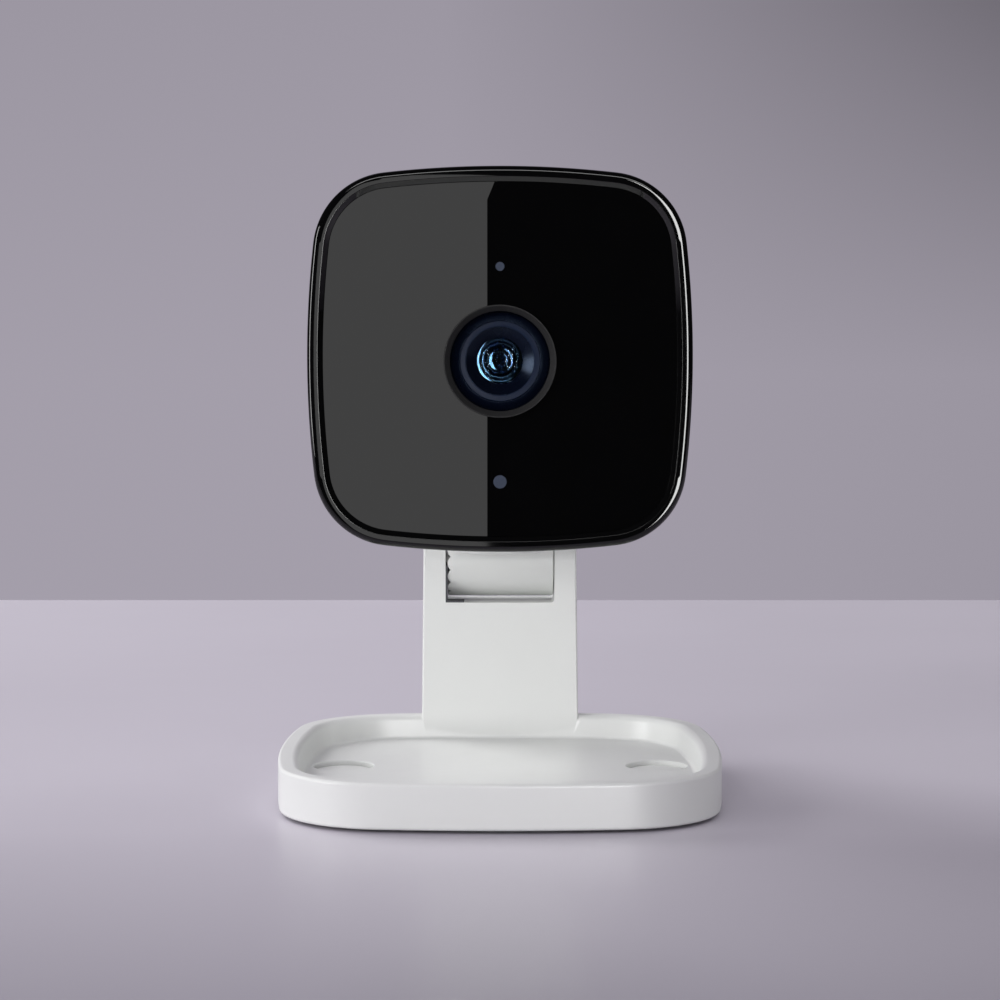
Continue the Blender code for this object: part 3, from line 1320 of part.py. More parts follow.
make_stand()
make_base_pieces()
make_hinge_pin()
make_click_spring()
make_neck()
make_click_ring()
make_swivel()
make_bezel()
make_window()
make_gasket()
make_shell()
make_back_cover()
make_lens()
make_sensor_group()
make_lamp_board()
make_main_board()
make_speaker()
make_inlet()
make_button()
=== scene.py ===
"""The looks of a small indoor security camera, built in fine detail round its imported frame.

Metres, +Z up. The origin is the middle of the stand's underside. The face looks along -Y.
"""

import json
import math

import bmesh
import bpy
from mathutils import Matrix, Vector


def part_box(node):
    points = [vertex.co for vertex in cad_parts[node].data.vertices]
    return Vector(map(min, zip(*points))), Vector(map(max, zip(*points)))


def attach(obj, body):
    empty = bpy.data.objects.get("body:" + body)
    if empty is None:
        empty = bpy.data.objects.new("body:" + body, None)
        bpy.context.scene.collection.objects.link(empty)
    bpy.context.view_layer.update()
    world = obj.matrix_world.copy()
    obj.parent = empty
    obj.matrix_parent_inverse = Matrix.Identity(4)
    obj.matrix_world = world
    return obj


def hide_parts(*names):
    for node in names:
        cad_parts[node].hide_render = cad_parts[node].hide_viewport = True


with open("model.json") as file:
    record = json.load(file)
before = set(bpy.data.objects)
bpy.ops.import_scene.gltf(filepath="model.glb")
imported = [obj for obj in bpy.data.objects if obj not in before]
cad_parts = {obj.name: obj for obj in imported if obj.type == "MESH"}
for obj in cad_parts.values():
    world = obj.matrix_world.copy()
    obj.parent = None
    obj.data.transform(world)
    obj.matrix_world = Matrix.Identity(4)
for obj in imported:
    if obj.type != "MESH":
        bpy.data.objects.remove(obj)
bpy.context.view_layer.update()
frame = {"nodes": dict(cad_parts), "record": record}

MM = 0.001

# How finely shapes are divided
SIDE_STEPS = 14
CORNER_STEPS = 22
SOFT_STEPS = 6
TURN_STEPS = 128
SMALL_TURN_STEPS = 48

# Outlines of the head and the stand: squares with bulged sides and round corners
HEAD_SIDE_RADIUS = 133.0 * MM
HEAD_CORNER_RADIUS = 10.3 * MM
BASE_SIDE_RADIUS = 137.6 * MM
BASE_CORNER_RADIUS = 14.9 * MM

# Fits between pieces
FIT_GAP = 0.3 * MM
SHELL_WALL = 1.8 * MM

SIDES = ((-1, "left"), (1, "right"))

# Places read from the frame


def box_size(node):
    low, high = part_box(node)
    return high - low


def box_middle(node):
    low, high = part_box(node)
    return (low + high) / 2


def outer_radius(node):
    return box_size(node).x / 2


HEAD_WIDTH, BEZEL_DEPTH, HEAD_HEIGHT = box_size("front_bezel")
FACE_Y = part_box("front_bezel")[0].y
HEAD_Z = box_middle("front_bezel").z


def depths(node):
    """How far behind the face a node starts and ends."""
    low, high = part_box(node)
    return low.y - FACE_Y, high.y - FACE_Y


SHELL_FRONT, HEAD_DEPTH = depths("head_shell")
SHELL_INSET = (HEAD_WIDTH - box_size("head_shell").x) / 2
SHELL_BOTTOM_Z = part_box("head_shell")[0].z
WINDOW_INSET = (HEAD_WIDTH - box_size("front_window").x) / 2
WINDOW_FRONT, WINDOW_BACK = depths("front_window")
COVER_INSET = (HEAD_WIDTH - box_size("back_cover").x) / 2
COVER_THICKNESS = box_size("back_cover").y
LENS_X = box_middle("lens_trim_ring").x
LENS_RISE = box_middle("lens_trim_ring").z - HEAD_Z
TRIM_RADIUS = outer_radius("lens_trim_ring")
TRIM_FRONT, TRIM_BACK = depths("lens_trim_ring")
BARREL_RADIUS = outer_radius("lens_barrel")
BARREL_FRONT, BARREL_BACK = depths("lens_barrel")
RETAINER_RADIUS = outer_radius("lens_retaining_ring")
RETAINER_FRONT, RETAINER_BACK = depths("lens_retaining_ring")
GLASS_RADIUS = outer_radius("front_lens_element")
GLASS_FRONT, GLASS_BACK = depths("front_lens_element")
STOP_FRONT = depths("aperture_stop")[0]
HINGE_Y, HINGE_Z = box_middle("hinge_pin").yz
PIN_RADIUS = box_size("hinge_pin").z / 2
KNUCKLE_RADIUS = box_size("click_ring").z / 2
RING_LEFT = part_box("click_ring")[0].x
RING_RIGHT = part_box("click_ring")[1].x
BARREL_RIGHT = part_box("hinge_neck")[1].x
PAN_Y = box_middle("swivel_disc").y
BASE_WIDTH = box_size("stand").x
BASE_DEPTH = -2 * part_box("stand")[0].y
BASE_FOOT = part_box("stand")[0].z
ARM_BACK_Y = BASE_DEPTH / 2
ARM_FRONT_Y = HINGE_Y - KNUCKLE_RADIUS
PLUG_X, PLUG_Y = box_middle("screw_plug_right").xy
PLUG_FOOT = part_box("screw_plug_right")[0].z
PLUG_HEIGHT = box_size("screw_plug_right").z
PLUG_RADIUS = outer_radius("screw_plug_right")

# Lens
TRIM_WALL = 0.82 * MM
TRIM_TUBE_INNER = TRIM_RADIUS - TRIM_WALL
TRIM_TUBE_OUTER = 6.85 * MM
TRIM_FLANGE = 0.5 * MM
TRIM_CONE_DEPTH = 0.9 * MM
TRIM_LAND = 0.16 * MM
RETAINER_WIDTH = 0.8 * MM
LENS_THREAD_RADIUS = 5.85 * MM
LENS_SHOULDER_DEPTH = 3.2 * MM
LENS_SLOPE_DEPTH = 0.62 * MM
LENS_LIP_RADIUS = 3.0 * MM
LENS_LIP_GAP = 0.3 * MM
LENS_DISH_TILT = 35
GLASS_THICKNESS = 1.0 * MM
GLASS_FRONT_BULGE = 0.6 * MM
GLASS_BACK_BULGE = 0.3 * MM
WINDOW_HOLE_GAP = 0.99 * MM
PORT_PROUD = 0.02 * MM
PORT_RADII = {"status_light": 0.575 * MM, "light_sensor": 0.86 * MM}

# The polished rings from the glass's rim in to the pupil: the width of each, and its tilt in
# degrees at its start and its end. It faces outward above 0.
STACK_ZONES = {
    "rim": (0.32 * MM, 16, 3),
    "groove": (0.36 * MM, -2, -15),
    "wall": (0.26 * MM, -26, -27),
    "bead": (0.24 * MM, 24, -24),
    "bowl": (0.46 * MM, -26, -27),
    "inner_rim": (0.26 * MM, 16, 3),
    "inner_groove": (0.42 * MM, -2, -15),
    "pupil_wall": (0.06 * MM, -50, -52),
    "pupil_edge": (0.08 * MM, 16, 2),
}
ZONE_STEPS = 7
STACK_DEPTH = 1.6 * MM
STACK_SETBACK = 0.35 * MM
STACK_CLEARANCE = 0.05 * MM

# Stand
RIM_HEIGHT = 6.3 * MM
TRAY_FLOOR = 3.0 * MM
TRAY_CEILING = 2.0 * MM
RIM_OUTER_EDGE = 0.45 * MM
RIM_INNER_EDGE = 1.0 * MM
WALL_TOP_INSET = 2.55 * MM
WALL_FOOT_INSET = 3.375 * MM
WALL_FOOT_FILLET = 0.5 * MM
HOLLOW_INSET = 1.8 * MM
POCKET_RADIUS = 4.15 * MM
POCKET_DEPTH = 1.5 * MM
BOSS_RADIUS = 6.2 * MM
BOSS_FOOT = 0.7 * MM
WALL_SCREW_RADIUS = 2.2 * MM
ARM_WIDTH = 22.8 * MM
ARM_DRAFT = 0.011
ARM_TAPER_TOP = 21.5 * MM
ARM_TAPER_BOTTOM = 12.5 * MM
ARM_EDGE = 0.35 * MM
ARM_BEND = 3.0 * MM
SLOT_WIDTH = 15.8 * MM
SLOT_FLOOR_Z = HINGE_Z - 5.6 * MM
SLOT_CORNER = 0.55 * MM
BOSS_GAP = 0.2 * MM
POCKET_LIP = 0.12 * MM
CAP_BORE_DEPTH = 3 * MM

# Hinge and neck
CLICK_COUNT = 16
CLICK_DEPTH = 0.5 * MM
CLICK_PHASE = 0.55
CLICK_WALL = 1.9 * MM
NECK_WIDTH = 12.0 * MM
NECK_TIP = 1.3 * MM
NECK_ROOT = 3.1 * MM
NECK_TOP_GAP = 0.05 * MM
BARREL_END_GAP = 0.1 * MM
SWIVEL_RADIUS = 6.4 * MM
SWIVEL_FLANGE = 1.5 * MM
SWIVEL_BORE = 1.55 * MM
LEAF_THICKNESS = 0.28 * MM
LEAF_FOOT = 2.68 * MM
LEAF_WIDTH = 2.3 * MM
LEAF_SETBACK = 0.06 * MM

# Back of the head
GRILLE_HOLE = 0.6 * MM
GRILLE_PITCH = 2.6 * MM
GRILLE_RINGS = 2
SPEAKER_RISE = 7.0 * MM
HOLE_EDGE = 0.25 * MM
SCREW_HEAD = 0.9 * MM
SCREW_SHANK = 0.8 * MM
SCREW_BORE = 1.1 * MM
CROSS_DEPTH = 0.62 * MM
BUTTON_RADIUS = 2.4 * MM
BUTTON_BORE = 2.7 * MM
BUTTON_FLANGE_TOP = 2.1 * MM
BUTTON_FLANGE_BACK = 3.0 * MM
INLET_WALL = 0.35 * MM
TONGUE_THICKNESS = 0.7 * MM


# Flat outlines


def arc(centre, radius, start, end, steps):
    """Points on an arc, from one angle in degrees to another, both ends included."""
    x, y = centre
    points = []
    for step in range(steps + 1):
        angle = math.radians(start + (end - start) * step / steps)
        points.append((x + radius * math.cos(angle), y + radius * math.sin(angle)))
    return points


def softened(corners, closed=False, steps=SOFT_STEPS):
    """A path whose corners, each (x, y, radius), are rounded."""
    points = []
    count = len(corners)
    for index, (x, y, radius) in enumerate(corners):
        if radius == 0 or (not closed and index in (0, count - 1)):
            points.append((x, y))
            continue
        here = Vector((x, y))
        before = (Vector(corners[index - 1][:2]) - here).normalized()
        after = (Vector(corners[(index + 1) % count][:2]) - here).normalized()
        half = before.angle(after) / 2
        centre = here + (before + after).normalized() * radius / math.sin(half)
        start = here + before * radius / math.tan(half) - centre
        end = here + after * radius / math.tan(half) - centre
        swing = start.angle_signed(end)
        for step in range(steps + 1):
            turned_to = Matrix.Rotation(-swing * step / steps, 2) @ start
            points.append(tuple(centre + turned_to))
    return points


def bulged_square(width, height, side_radius, corner_radius, inset=0.0):
    """Points round a square with bulged sides and round corners, moved in by the inset."""
    reach_x = side_radius - width / 2
    reach_y = side_radius - height / 2
    span = side_radius - corner_radius
    # The corner's centre is as far from the centres of both side arcs that meet there.
    slope = reach_y / reach_x
    shift = (reach_y**2 - reach_x**2) / (2 * reach_x)
    square = slope**2 + 1
    linear = 2 * (slope * (shift + reach_x))
    constant = (shift + reach_x) ** 2 - span**2
    corner_y = (-linear + math.sqrt(linear**2 - 4 * square * constant)) / (2 * square)
    corner_x = slope * corner_y + shift
    side_end = math.degrees(math.atan2(corner_y, corner_x + reach_x))
    top_start = math.degrees(math.atan2(corner_y + reach_y, corner_x))
    side = side_radius - inset
    corner = corner_radius - inset
    right = arc((-reach_x, 0), side, 0, side_end, SIDE_STEPS)
    bend = arc((corner_x, corner_y), corner, side_end, top_start, CORNER_STEPS)
    top = arc((0, -reach_y), side, top_start, 90, SIDE_STEPS)
    quarter = right[:-1] + bend[:-1] + top[:-1]
    middle = top[-1]
    half = quarter + [middle] + [(-x, y) for x, y in reversed(quarter[1:])]
    return half + [(-x, -y) for x, y in half]


def head_outline(inset):
    return bulged_square(HEAD_WIDTH, HEAD_HEIGHT, HEAD_SIDE_RADIUS, HEAD_CORNER_RADIUS, inset)


def base_outline(inset):
    return bulged_square(BASE_WIDTH, BASE_DEPTH, BASE_SIDE_RADIUS, BASE_CORNER_RADIUS, inset)


def capsule(width, height, steps=12):
    """The outline of a slot with half-round ends."""
    radius = height / 2
    side = width / 2 - radius
    return arc((side, 0), radius, -90, 90, steps) + arc((-side, 0), radius, 90, 270, steps)


# Solids


def solid(name, shape):
    """An object of the shape, with its faces pointing out."""
    bmesh.ops.remove_doubles(shape, verts=shape.verts, dist=1e-7)
    bmesh.ops.recalc_face_normals(shape, faces=shape.faces)
    mesh = bpy.data.meshes.new(name)
    shape.to_mesh(mesh)
    shape.free()
    return bpy.data.objects.new(name, mesh)


def bridged(shape, one, other):
    for index, vert in enumerate(one):
        after = (index + 1) % len(one)
        shape.faces.new((vert, one[after], other[after], other[index]))


def swept(name, outline, profile, ring=False):
    """Carries a profile of (inset, height) points round an outline: a closed solid, or a ring."""
    shape = bmesh.new()
    levels = []
    for inset, height in profile:
        levels.append([shape.verts.new((x, y, height)) for x, y in outline(inset)])
    for one, other in zip(levels, levels[1:]):
        bridged(shape, one, other)
    if ring:
        bridged(shape, levels[-1], levels[0])
    else:
        shape.faces.new(levels[0])
        shape.faces.new(levels[-1])
    return solid(name, shape)


def turned(name, profile, steps=TURN_STEPS):
    """Turns a profile of (radius, height) points about Z. An end on the axis is closed there."""
    shape = bmesh.new()
    levels = []
    for radius, height in profile:
        if radius == 0:
            levels.append([shape.verts.new((0, 0, height))])
            continue
        level = []
        for step in range(steps):
            angle = 2 * math.pi * step / steps
            x, y = radius * math.cos(angle), radius * math.sin(angle)
            level.append(shape.verts.new((x, y, height)))
        levels.append(level)
    pairs = list(zip(levels, levels[1:]))
    if len(levels[0]) > 1 or len(levels[-1]) > 1:
        pairs.append((levels[-1], levels[0]))
    for one, other in pairs:
        if len(one) == 1 and len(other) == 1:
            continue
        if len(one) == 1:
            one, other = other, one
        if len(other) == 1:
            for index, vert in enumerate(one):
                shape.faces.new((vert, one[(index + 1) % steps], other[0]))
        else:
            bridged(shape, one, other)
    return solid(name, shape)


def disc(name, radius, thickness, steps=TURN_STEPS, edge=0.0):
    """A round solid standing on its base, whose top can be widened by an edge."""
    profile = [(0, thickness), (radius + edge, thickness)]
    if edge:
        profile.append((radius + edge, thickness - edge))
        profile.append((radius, thickness - 2 * edge))
    return turned(name, profile + [(radius, 0), (0, 0)], steps)


def raised_face(points, step):
    """A shape made of a flat face, carried along a step."""
    shape = bmesh.new()
    base = shape.faces.new([shape.verts.new(point) for point in points])
    raised = bmesh.ops.extrude_face_region(shape, geom=[base])
    verts = [item for item in raised["geom"] if isinstance(item, bmesh.types.BMVert)]
    bmesh.ops.translate(shape, vec=step, verts=verts)
    return shape


def round_edges(shape, edges, width, segments):
    bmesh.ops.bevel(
        shape, geom=edges, offset=width, segments=segments, profile=0.5, affect="EDGES"
    )


def prism(name, points, thickness, bevel=0.0):
    """A flat outline of (x, y) points, raised along Z from 0 to the thickness."""
    shape = raised_face([(x, y, 0) for x, y in points], (0, 0, thickness))
    if bevel:
        rims = []
        for edge in shape.edges:
            one, other = edge.verts
            if abs(one.co.z - other.co.z) < 1e-9:
                rims.append(edge)
        round_edges(shape, rims, bevel, 4)
    return solid(name, shape)


def block(name, size, bevel=0.0):
    """A box centred in X and Y and standing on its base."""
    shape = bmesh.new()
    bmesh.ops.create_cube(shape, size=1)
    bmesh.ops.scale(shape, vec=size, verts=shape.verts)
    bmesh.ops.translate(shape, vec=(0, 0, size[2] / 2), verts=shape.verts)
    if bevel:
        round_edges(shape, shape.edges, bevel, 3)
    return solid(name, shape)


def moved(piece, matrix):
    piece.data.transform(matrix)
    return piece


def placed(piece, x, y, z):
    return moved(piece, Matrix.Translation((x, y, z)))


def upright(piece, x, y, z, side=1):
    """Stands the piece up: its +Z looks forward, or backward at side -1."""
    place = Matrix.Translation((x, y, z))
    return moved(piece, place @ Matrix.Rotation(side * math.pi / 2, 4, "X"))


def on_head(piece, x=0.0, z=0.0, depth=0.0, side=1):
    """Stands the piece up on the head, at a depth behind the face."""
    return upright(piece, x, FACE_Y + depth, HEAD_Z + z, side)


def in_line(piece, node, depth):
    """Stands the piece on the head's back, in line with a node."""
    middle = box_middle(node)
    return on_head(piece, middle.x, middle.z - HEAD_Z, depth, -1)


def across(piece, x, y, z, side=1):
    """Lays the piece along X: its +Z looks to +X, or to -X."""
    place = Matrix.Translation((x, y, z))
    return moved(piece, place @ Matrix.Rotation(side * math.pi / 2, 4, "Y"))


def combined(piece, operation, tools):
    """Cuts the tools from the piece, or joins them to it, and removes them."""
    scene = bpy.context.scene.collection
    scene.objects.link(piece)
    for tool in tools:
        scene.objects.link(tool)
        step = piece.modifiers.new(operation.lower(), "BOOLEAN")
        step.operation = operation
        step.solver = "EXACT"
        step.object = tool
    bpy.context.view_layer.update()
    graph = bpy.context.evaluated_depsgraph_get()
    made = bpy.data.meshes.new_from_object(piece.evaluated_get(graph))
    piece.modifiers.clear()
    old = piece.data
    piece.data = made
    bpy.data.meshes.remove(old)
    for tool in tools:
        bpy.data.meshes.remove(tool.data)
    scene.objects.unlink(piece)
    return piece


def cut(piece, *tools):
    return combined(piece, "DIFFERENCE", tools)


def join(piece, *tools):
    return combined(piece, "UNION", tools)


def finish_piece(piece, slot, body, *nodes, finish=None):
    """Shows the piece in its slot's material or another finish, on a body in place of nodes."""
    bpy.context.scene.collection.objects.link(piece)
    piece.data.name = piece.name
    piece.data.materials.clear()
    piece.data.materials.append(MATERIALS[finish or slot])
    piece.data.shade_smooth()
    piece.data.set_sharp_from_angle(angle=math.radians(32))
    even = piece.modifiers.new("even_normals", "WEIGHTED_NORMAL")
    even.keep_sharp = True
    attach(piece, body)
    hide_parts(*nodes)


def finish_lens_piece(name, profile, slot, *nodes, finish=None):
    """Turns a profile about the lens's axis and finishes the piece."""
    piece = on_head(turned(name, profile), LENS_X, LENS_RISE)
    finish_piece(piece, slot, "head", *nodes, finish=finish)


# Materials

MATERIALS = {}


def new_shader(name, colour, roughness, metallic=0.0):
    made = bpy.data.materials.new(name)
    MATERIALS[name] = made
    made.use_nodes = True
    made.diffuse_color = (*colour, 1.0)
    shader = made.node_tree.nodes["Principled BSDF"]
    shader.inputs["Base Color"].default_value = (*colour, 1.0)
    shader.inputs["Roughness"].default_value = roughness
    shader.inputs["Metallic"].default_value = metallic
    return made, shader


def add_node(material, kind, **values):
    """Adds a node: values that it has as properties are set so, and the others are its inputs."""
    node = material.node_tree.nodes.new(kind)
    for key, value in values.items():
        if hasattr(node, key):
            setattr(node, key, value)
        else:
            node.inputs[key.replace("_", " ")].default_value = value
    return node


def link(material, source, target):
    material.node_tree.links.new(source, target)


def place_on(material):
    return add_node(material, "ShaderNodeTexCoord").outputs["Object"]


def noise(material, scale, detail=3.0):
    node = add_node(material, "ShaderNodeTexNoise", Scale=scale, Detail=detail, Roughness=0.5)
    link(material, place_on(material), node.inputs["Vector"])
    return node.outputs["Fac"]


def ramp_between(material, value, low, high, start=0.3, end=0.7):
    """Maps a value to the range from low to high."""
    node = add_node(
        material, "ShaderNodeMapRange", From_Min=start, From_Max=end, To_Min=low, To_Max=high
    )
    link(material, value, node.inputs["Value"])
    return node.outputs["Result"]


def blend_colours(material, shader, amount, one, other):
    """Colours the surface from one colour to the other by the amount."""
    mix = add_node(material, "ShaderNodeMix", data_type="RGBA")
    link(material, amount, mix.inputs[0])
    mix.inputs[6].default_value = (*one, 1.0)
    mix.inputs[7].default_value = (*other, 1.0)
    link(material, mix.outputs[2], shader.inputs["Base Color"])


def vary_colour(material, shader, one, other, scale):
    amount = ramp_between(material, noise(material, scale), 0, 1)
    blend_colours(material, shader, amount, one, other)


def vary_roughness(material, shader, low, high, scale):
    amount = ramp_between(material, noise(material, scale), low, high)
    link(material, amount, shader.inputs["Roughness"])


def raise_bumps(material, shader, height, strength, depth):
    bump = add_node(material, "ShaderNodeBump", Strength=strength, Distance=depth)
    link(material, height, bump.inputs["Height"])
    link(material, bump.outputs["Normal"], shader.inputs["Normal"])


def satin_plastic(name, colour, roughness, depth=0.0006 * MM, spread=0.012, shine=0.5):
    """Moulded plastic with a fine spark-eroded grain and slightly uneven tone."""
    material, shader = new_shader(name, colour, roughness)
    shader.inputs["Specular IOR Level"].default_value = shine
    darker = tuple(value * (1 - spread) for value in colour)
    vary_colour(material, shader, colour, darker, 90.0)
    vary_roughness(material, shader, roughness - 0.03, roughness + 0.03, 420.0)
    raise_bumps(material, shader, noise(material, 5200.0, 2.0), 1.0, depth)
    return shader


def gloss_plastic(name, colour, roughness, haze):
    """Polished plastic with a trace of handling haze."""
    material, shader = new_shader(name, colour, roughness)
    lighter = tuple(value * 1.25 for value in colour)
    vary_colour(material, shader, colour, lighter, 160.0)
    vary_roughness(material, shader, roughness, roughness + haze, 130.0)


def metal(name, colour, roughness, stretch):
    """Metal with fine drawing lines along one direction."""
    material, shader = new_shader(name, colour, roughness, 1.0)
    mapping = add_node(material, "ShaderNodeMapping", Scale=stretch)
    link(material, place_on(material), mapping.inputs["Vector"])
    lines = add_node(material, "ShaderNodeTexNoise", Scale=1.0, Detail=4.0)
    link(material, mapping.outputs["Vector"], lines.inputs["Vector"])
    amount = ramp_between(material, lines.outputs["Fac"], roughness - 0.1, roughness + 0.12)
    link(material, amount, shader.inputs["Roughness"])
    raise_bumps(material, shader, lines.outputs["Fac"], 0.4, 0.002 * MM)


def circuit_board():
    """Solder mask over straight tracks, which stand out slightly and are lighter."""
    colour = (0.012, 0.075, 0.032)
    material, shader = new_shader("circuit_board", colour, 0.32)
    tracks = add_node(
        material,
        "ShaderNodeTexBrick",
        Scale=420.0,
        Mortar_Size=0.06,
        Color1=(*colour, 1.0),
        Color2=(0.015, 0.09, 0.04, 1.0),
        Mortar=(0.04, 0.19, 0.08, 1.0),
    )
    turn = add_node(material, "ShaderNodeMapping", Rotation=(math.pi / 2, 0, 0))
    link(material, place_on(material), turn.inputs["Vector"])
    link(material, turn.outputs["Vector"], tracks.inputs["Vector"])
    link(material, tracks.outputs["Color"], shader.inputs["Base Color"])
    raise_bumps(material, shader, tracks.outputs["Fac"], 0.5, 0.02 * MM)


def coated_glass():
    """Clear lens glass whose anti-reflection coating takes nearly all of its own shine away."""
    material, shader = new_shader("lens_glass", (0.86, 0.94, 1.0), 0.0)
    shader.inputs["Transmission Weight"].default_value = 1.0
    shader.inputs["IOR"].default_value = 1.06
    vary_roughness(material, shader, 0.0, 0.004, 900.0)


def coated_stack():
    """The polished inner elements, dark behind a coating that reflects cyan."""
    material, shader = new_shader("lens_stack", (0.0012, 0.003, 0.010), 0.06)
    shader.inputs["IOR"].default_value = 1.85
    shader.inputs["Specular Tint"].default_value = (0.42, 0.74, 1.0, 1.0)
    vary_roughness(material, shader, 0.045, 0.055, 260.0)


def blue_black():
    """Satin lens black whose sheen is blue."""
    shader = satin_plastic("lens_black", (0.0013, 0.0026, 0.0088), 0.26, shine=0.3)
    shader.inputs["Specular Tint"].default_value = (0.48, 0.66, 1.0, 1.0)


def make_materials():
    satin_plastic("white_plastic", (0.795, 0.81, 0.785), 0.36)
    gloss_plastic("gloss_black", (0.0015, 0.0015, 0.0017), 0.02, 0.015)
    gloss_plastic("tinted_window", (0.0010, 0.0010, 0.0012), 0.0, 0.002)
    satin_plastic("charcoal_ring", (0.025, 0.025, 0.025), 0.5, shine=0.12)
    blue_black()
    satin_plastic("slate_ring", (0.0075, 0.0150, 0.038), 0.5, shine=0.1)
    coated_glass()
    coated_stack()
    satin_plastic("matte_black", (0.012, 0.012, 0.013), 0.6, 0.002 * MM)
    satin_plastic("rubber", (0.018, 0.018, 0.019), 0.78, 0.006 * MM, 0.08)
    metal("steel", (0.58, 0.58, 0.57), 0.28, (9000, 600, 9000))
    metal("dark_steel", (0.05, 0.05, 0.055), 0.38, (600, 600, 9000))
    metal("aluminium", (0.68, 0.68, 0.69), 0.34, (900, 9000, 9000))
    circuit_board()
    gloss_plastic("sensor_chip", (0.020, 0.020, 0.035), 0.12, 0.05)
    satin_plastic("lamp_resin", (0.040, 0.053, 0.084), 0.5, shine=0.1)
    satin_plastic("grey_button", (0.42, 0.42, 0.43), 0.45)


make_materials()


# The head's case


def make_bezel():
    """A glossy frame: a round outer edge, a narrow flat, and a slope down to the window."""
    edge = 0.12 * MM
    flat_end = 1.38 * MM
    slope_end = 2.0 * MM
    ledge_end = 3.4 * MM
    skirt = 2.4 * MM
    ledge_front = WINDOW_BACK + FIT_GAP
    ledge_back = ledge_front + 1.0 * MM
    corners = [
        (0.0, -BEZEL_DEPTH, edge),
        (0.0, 0.0, 0.8 * MM),
        (flat_end, 0.0, edge),
        (slope_end, -WINDOW_FRONT, 0.06 * MM),
        (slope_end, -ledge_front, 0),
        (ledge_end, -ledge_front, 0.1 * MM),
        (ledge_end, -ledge_back, 0.1 * MM),
        (skirt, -ledge_back, 0),
        (skirt, -BEZEL_DEPTH, edge),
    ]
    bezel = swept("bezel_frame", head_outline, softened(corners, closed=True, steps=10), ring=True)
    finish_piece(on_head(bezel), "gloss_black", "head", "front_bezel")


def hole_level(shape, outline, radius, height):
    """Points on a circle about the lens's axis, one facing each point of the outline."""
    level = []
    for x, y in outline:
        painted_shade_fade = Vector((x - LENS_X, y - LENS_RISE)).normalized() * radius
        level.append(shape.verts.new((LENS_X + painted_shade_fade.x, LENS_RISE + painted_shade_fade.y, height)))
    return level


def make_window():
    """The window plate, polished flat, with a round hole for the lens and two filled ports."""
    edge = 0.04 * MM
    rim = WINDOW_INSET - FIT_GAP + 0.02 * MM
    hole = BARREL_RADIUS + WINDOW_HOLE_GAP
    shape = bmesh.new()
    levels = []
    for inset, height in (
        (rim, -WINDOW_BACK),
        (rim, -WINDOW_FRONT - edge),
        (rim + edge, -WINDOW_FRONT),
    ):
        levels.append([shape.verts.new((x, y, height)) for x, y in head_outline(inset)])
    facing = head_outline(rim + edge)
    for radius, height in (
        (hole + edge, -WINDOW_FRONT),
        (hole, -WINDOW_FRONT - edge),
        (hole, -WINDOW_BACK),
    ):
        levels.append(hole_level(shape, facing, radius, height))
    for one, other in zip(levels, levels[1:] + levels[:1]):
        bridged(shape, one, other)
    finish_piece(on_head(solid("window_plate", shape)), "tinted_window", "head", "front_window")
    for name, node in (("status_light", "status_light_pipe"), ("light_sensor", "light_sensor")):
        radius = PORT_RADII[name]
        profile = [(0, PORT_PROUD), (radius, PORT_PROUD), (radius, -PORT_PROUD), (0, -PORT_PROUD)]
        port = turned(name + "_port", profile, 64)
        on_head(port, 0, box_middle(node).z - HEAD_Z, WINDOW_FRONT)
        finish_piece(port, "lamp_resin", "head")


def make_case():
    """The white shell behind the bezel, open in front, with a lip round the back cover."""
    back_radius = 4.6 * MM
    lip = COVER_INSET - FIT_GAP
    edge = 0.15 * MM
    inner = SHELL_INSET + SHELL_WALL
    corners = [
        (SHELL_INSET, -SHELL_FRONT, edge),
        (SHELL_INSET, -HEAD_DEPTH, back_radius),
        (lip, -HEAD_DEPTH, edge),
        (lip, -HEAD_DEPTH + SHELL_WALL, edge),
        (inner, -HEAD_DEPTH + SHELL_WALL, back_radius - SHELL_WALL),
        (inner, -SHELL_FRONT, edge),
    ]
    profile = softened(corners, closed=True, steps=10)
    case = on_head(swept("head_case", head_outline, profile, ring=True))
    swivel_hole = disc("swivel_hole", SWIVEL_RADIUS + FIT_GAP, 4 * SHELL_WALL)
    placed(swivel_hole, 0, PAN_Y, SHELL_BOTTOM_Z - 2 * SHELL_WALL)
    opening = box_size("card_socket") - Vector((0, 0.4 * MM, 0.6 * MM))
    card_slot = prism("card_slot_hole", capsule(opening.z, opening.y), 4 * SHELL_WALL)
    middle = box_middle("card_socket")
    across(card_slot, -HEAD_WIDTH / 2 - SHELL_WALL, middle.y, middle.z)
    cut(case, swivel_hole, card_slot)
    finish_piece(case, "white_plastic", "head", "head_shell")


def grille_places():
    """The middle hole and rings of holes round it, six more in each ring."""
    places = [(0, SPEAKER_RISE)]
    for ring in range(1, GRILLE_RINGS + 1):
        for index in range(6 * ring):
            angle = 2 * math.pi * index / (6 * ring)
            reach = ring * GRILLE_PITCH
            places.append((reach * math.cos(angle), SPEAKER_RISE + reach * math.sin(angle)))
    return places


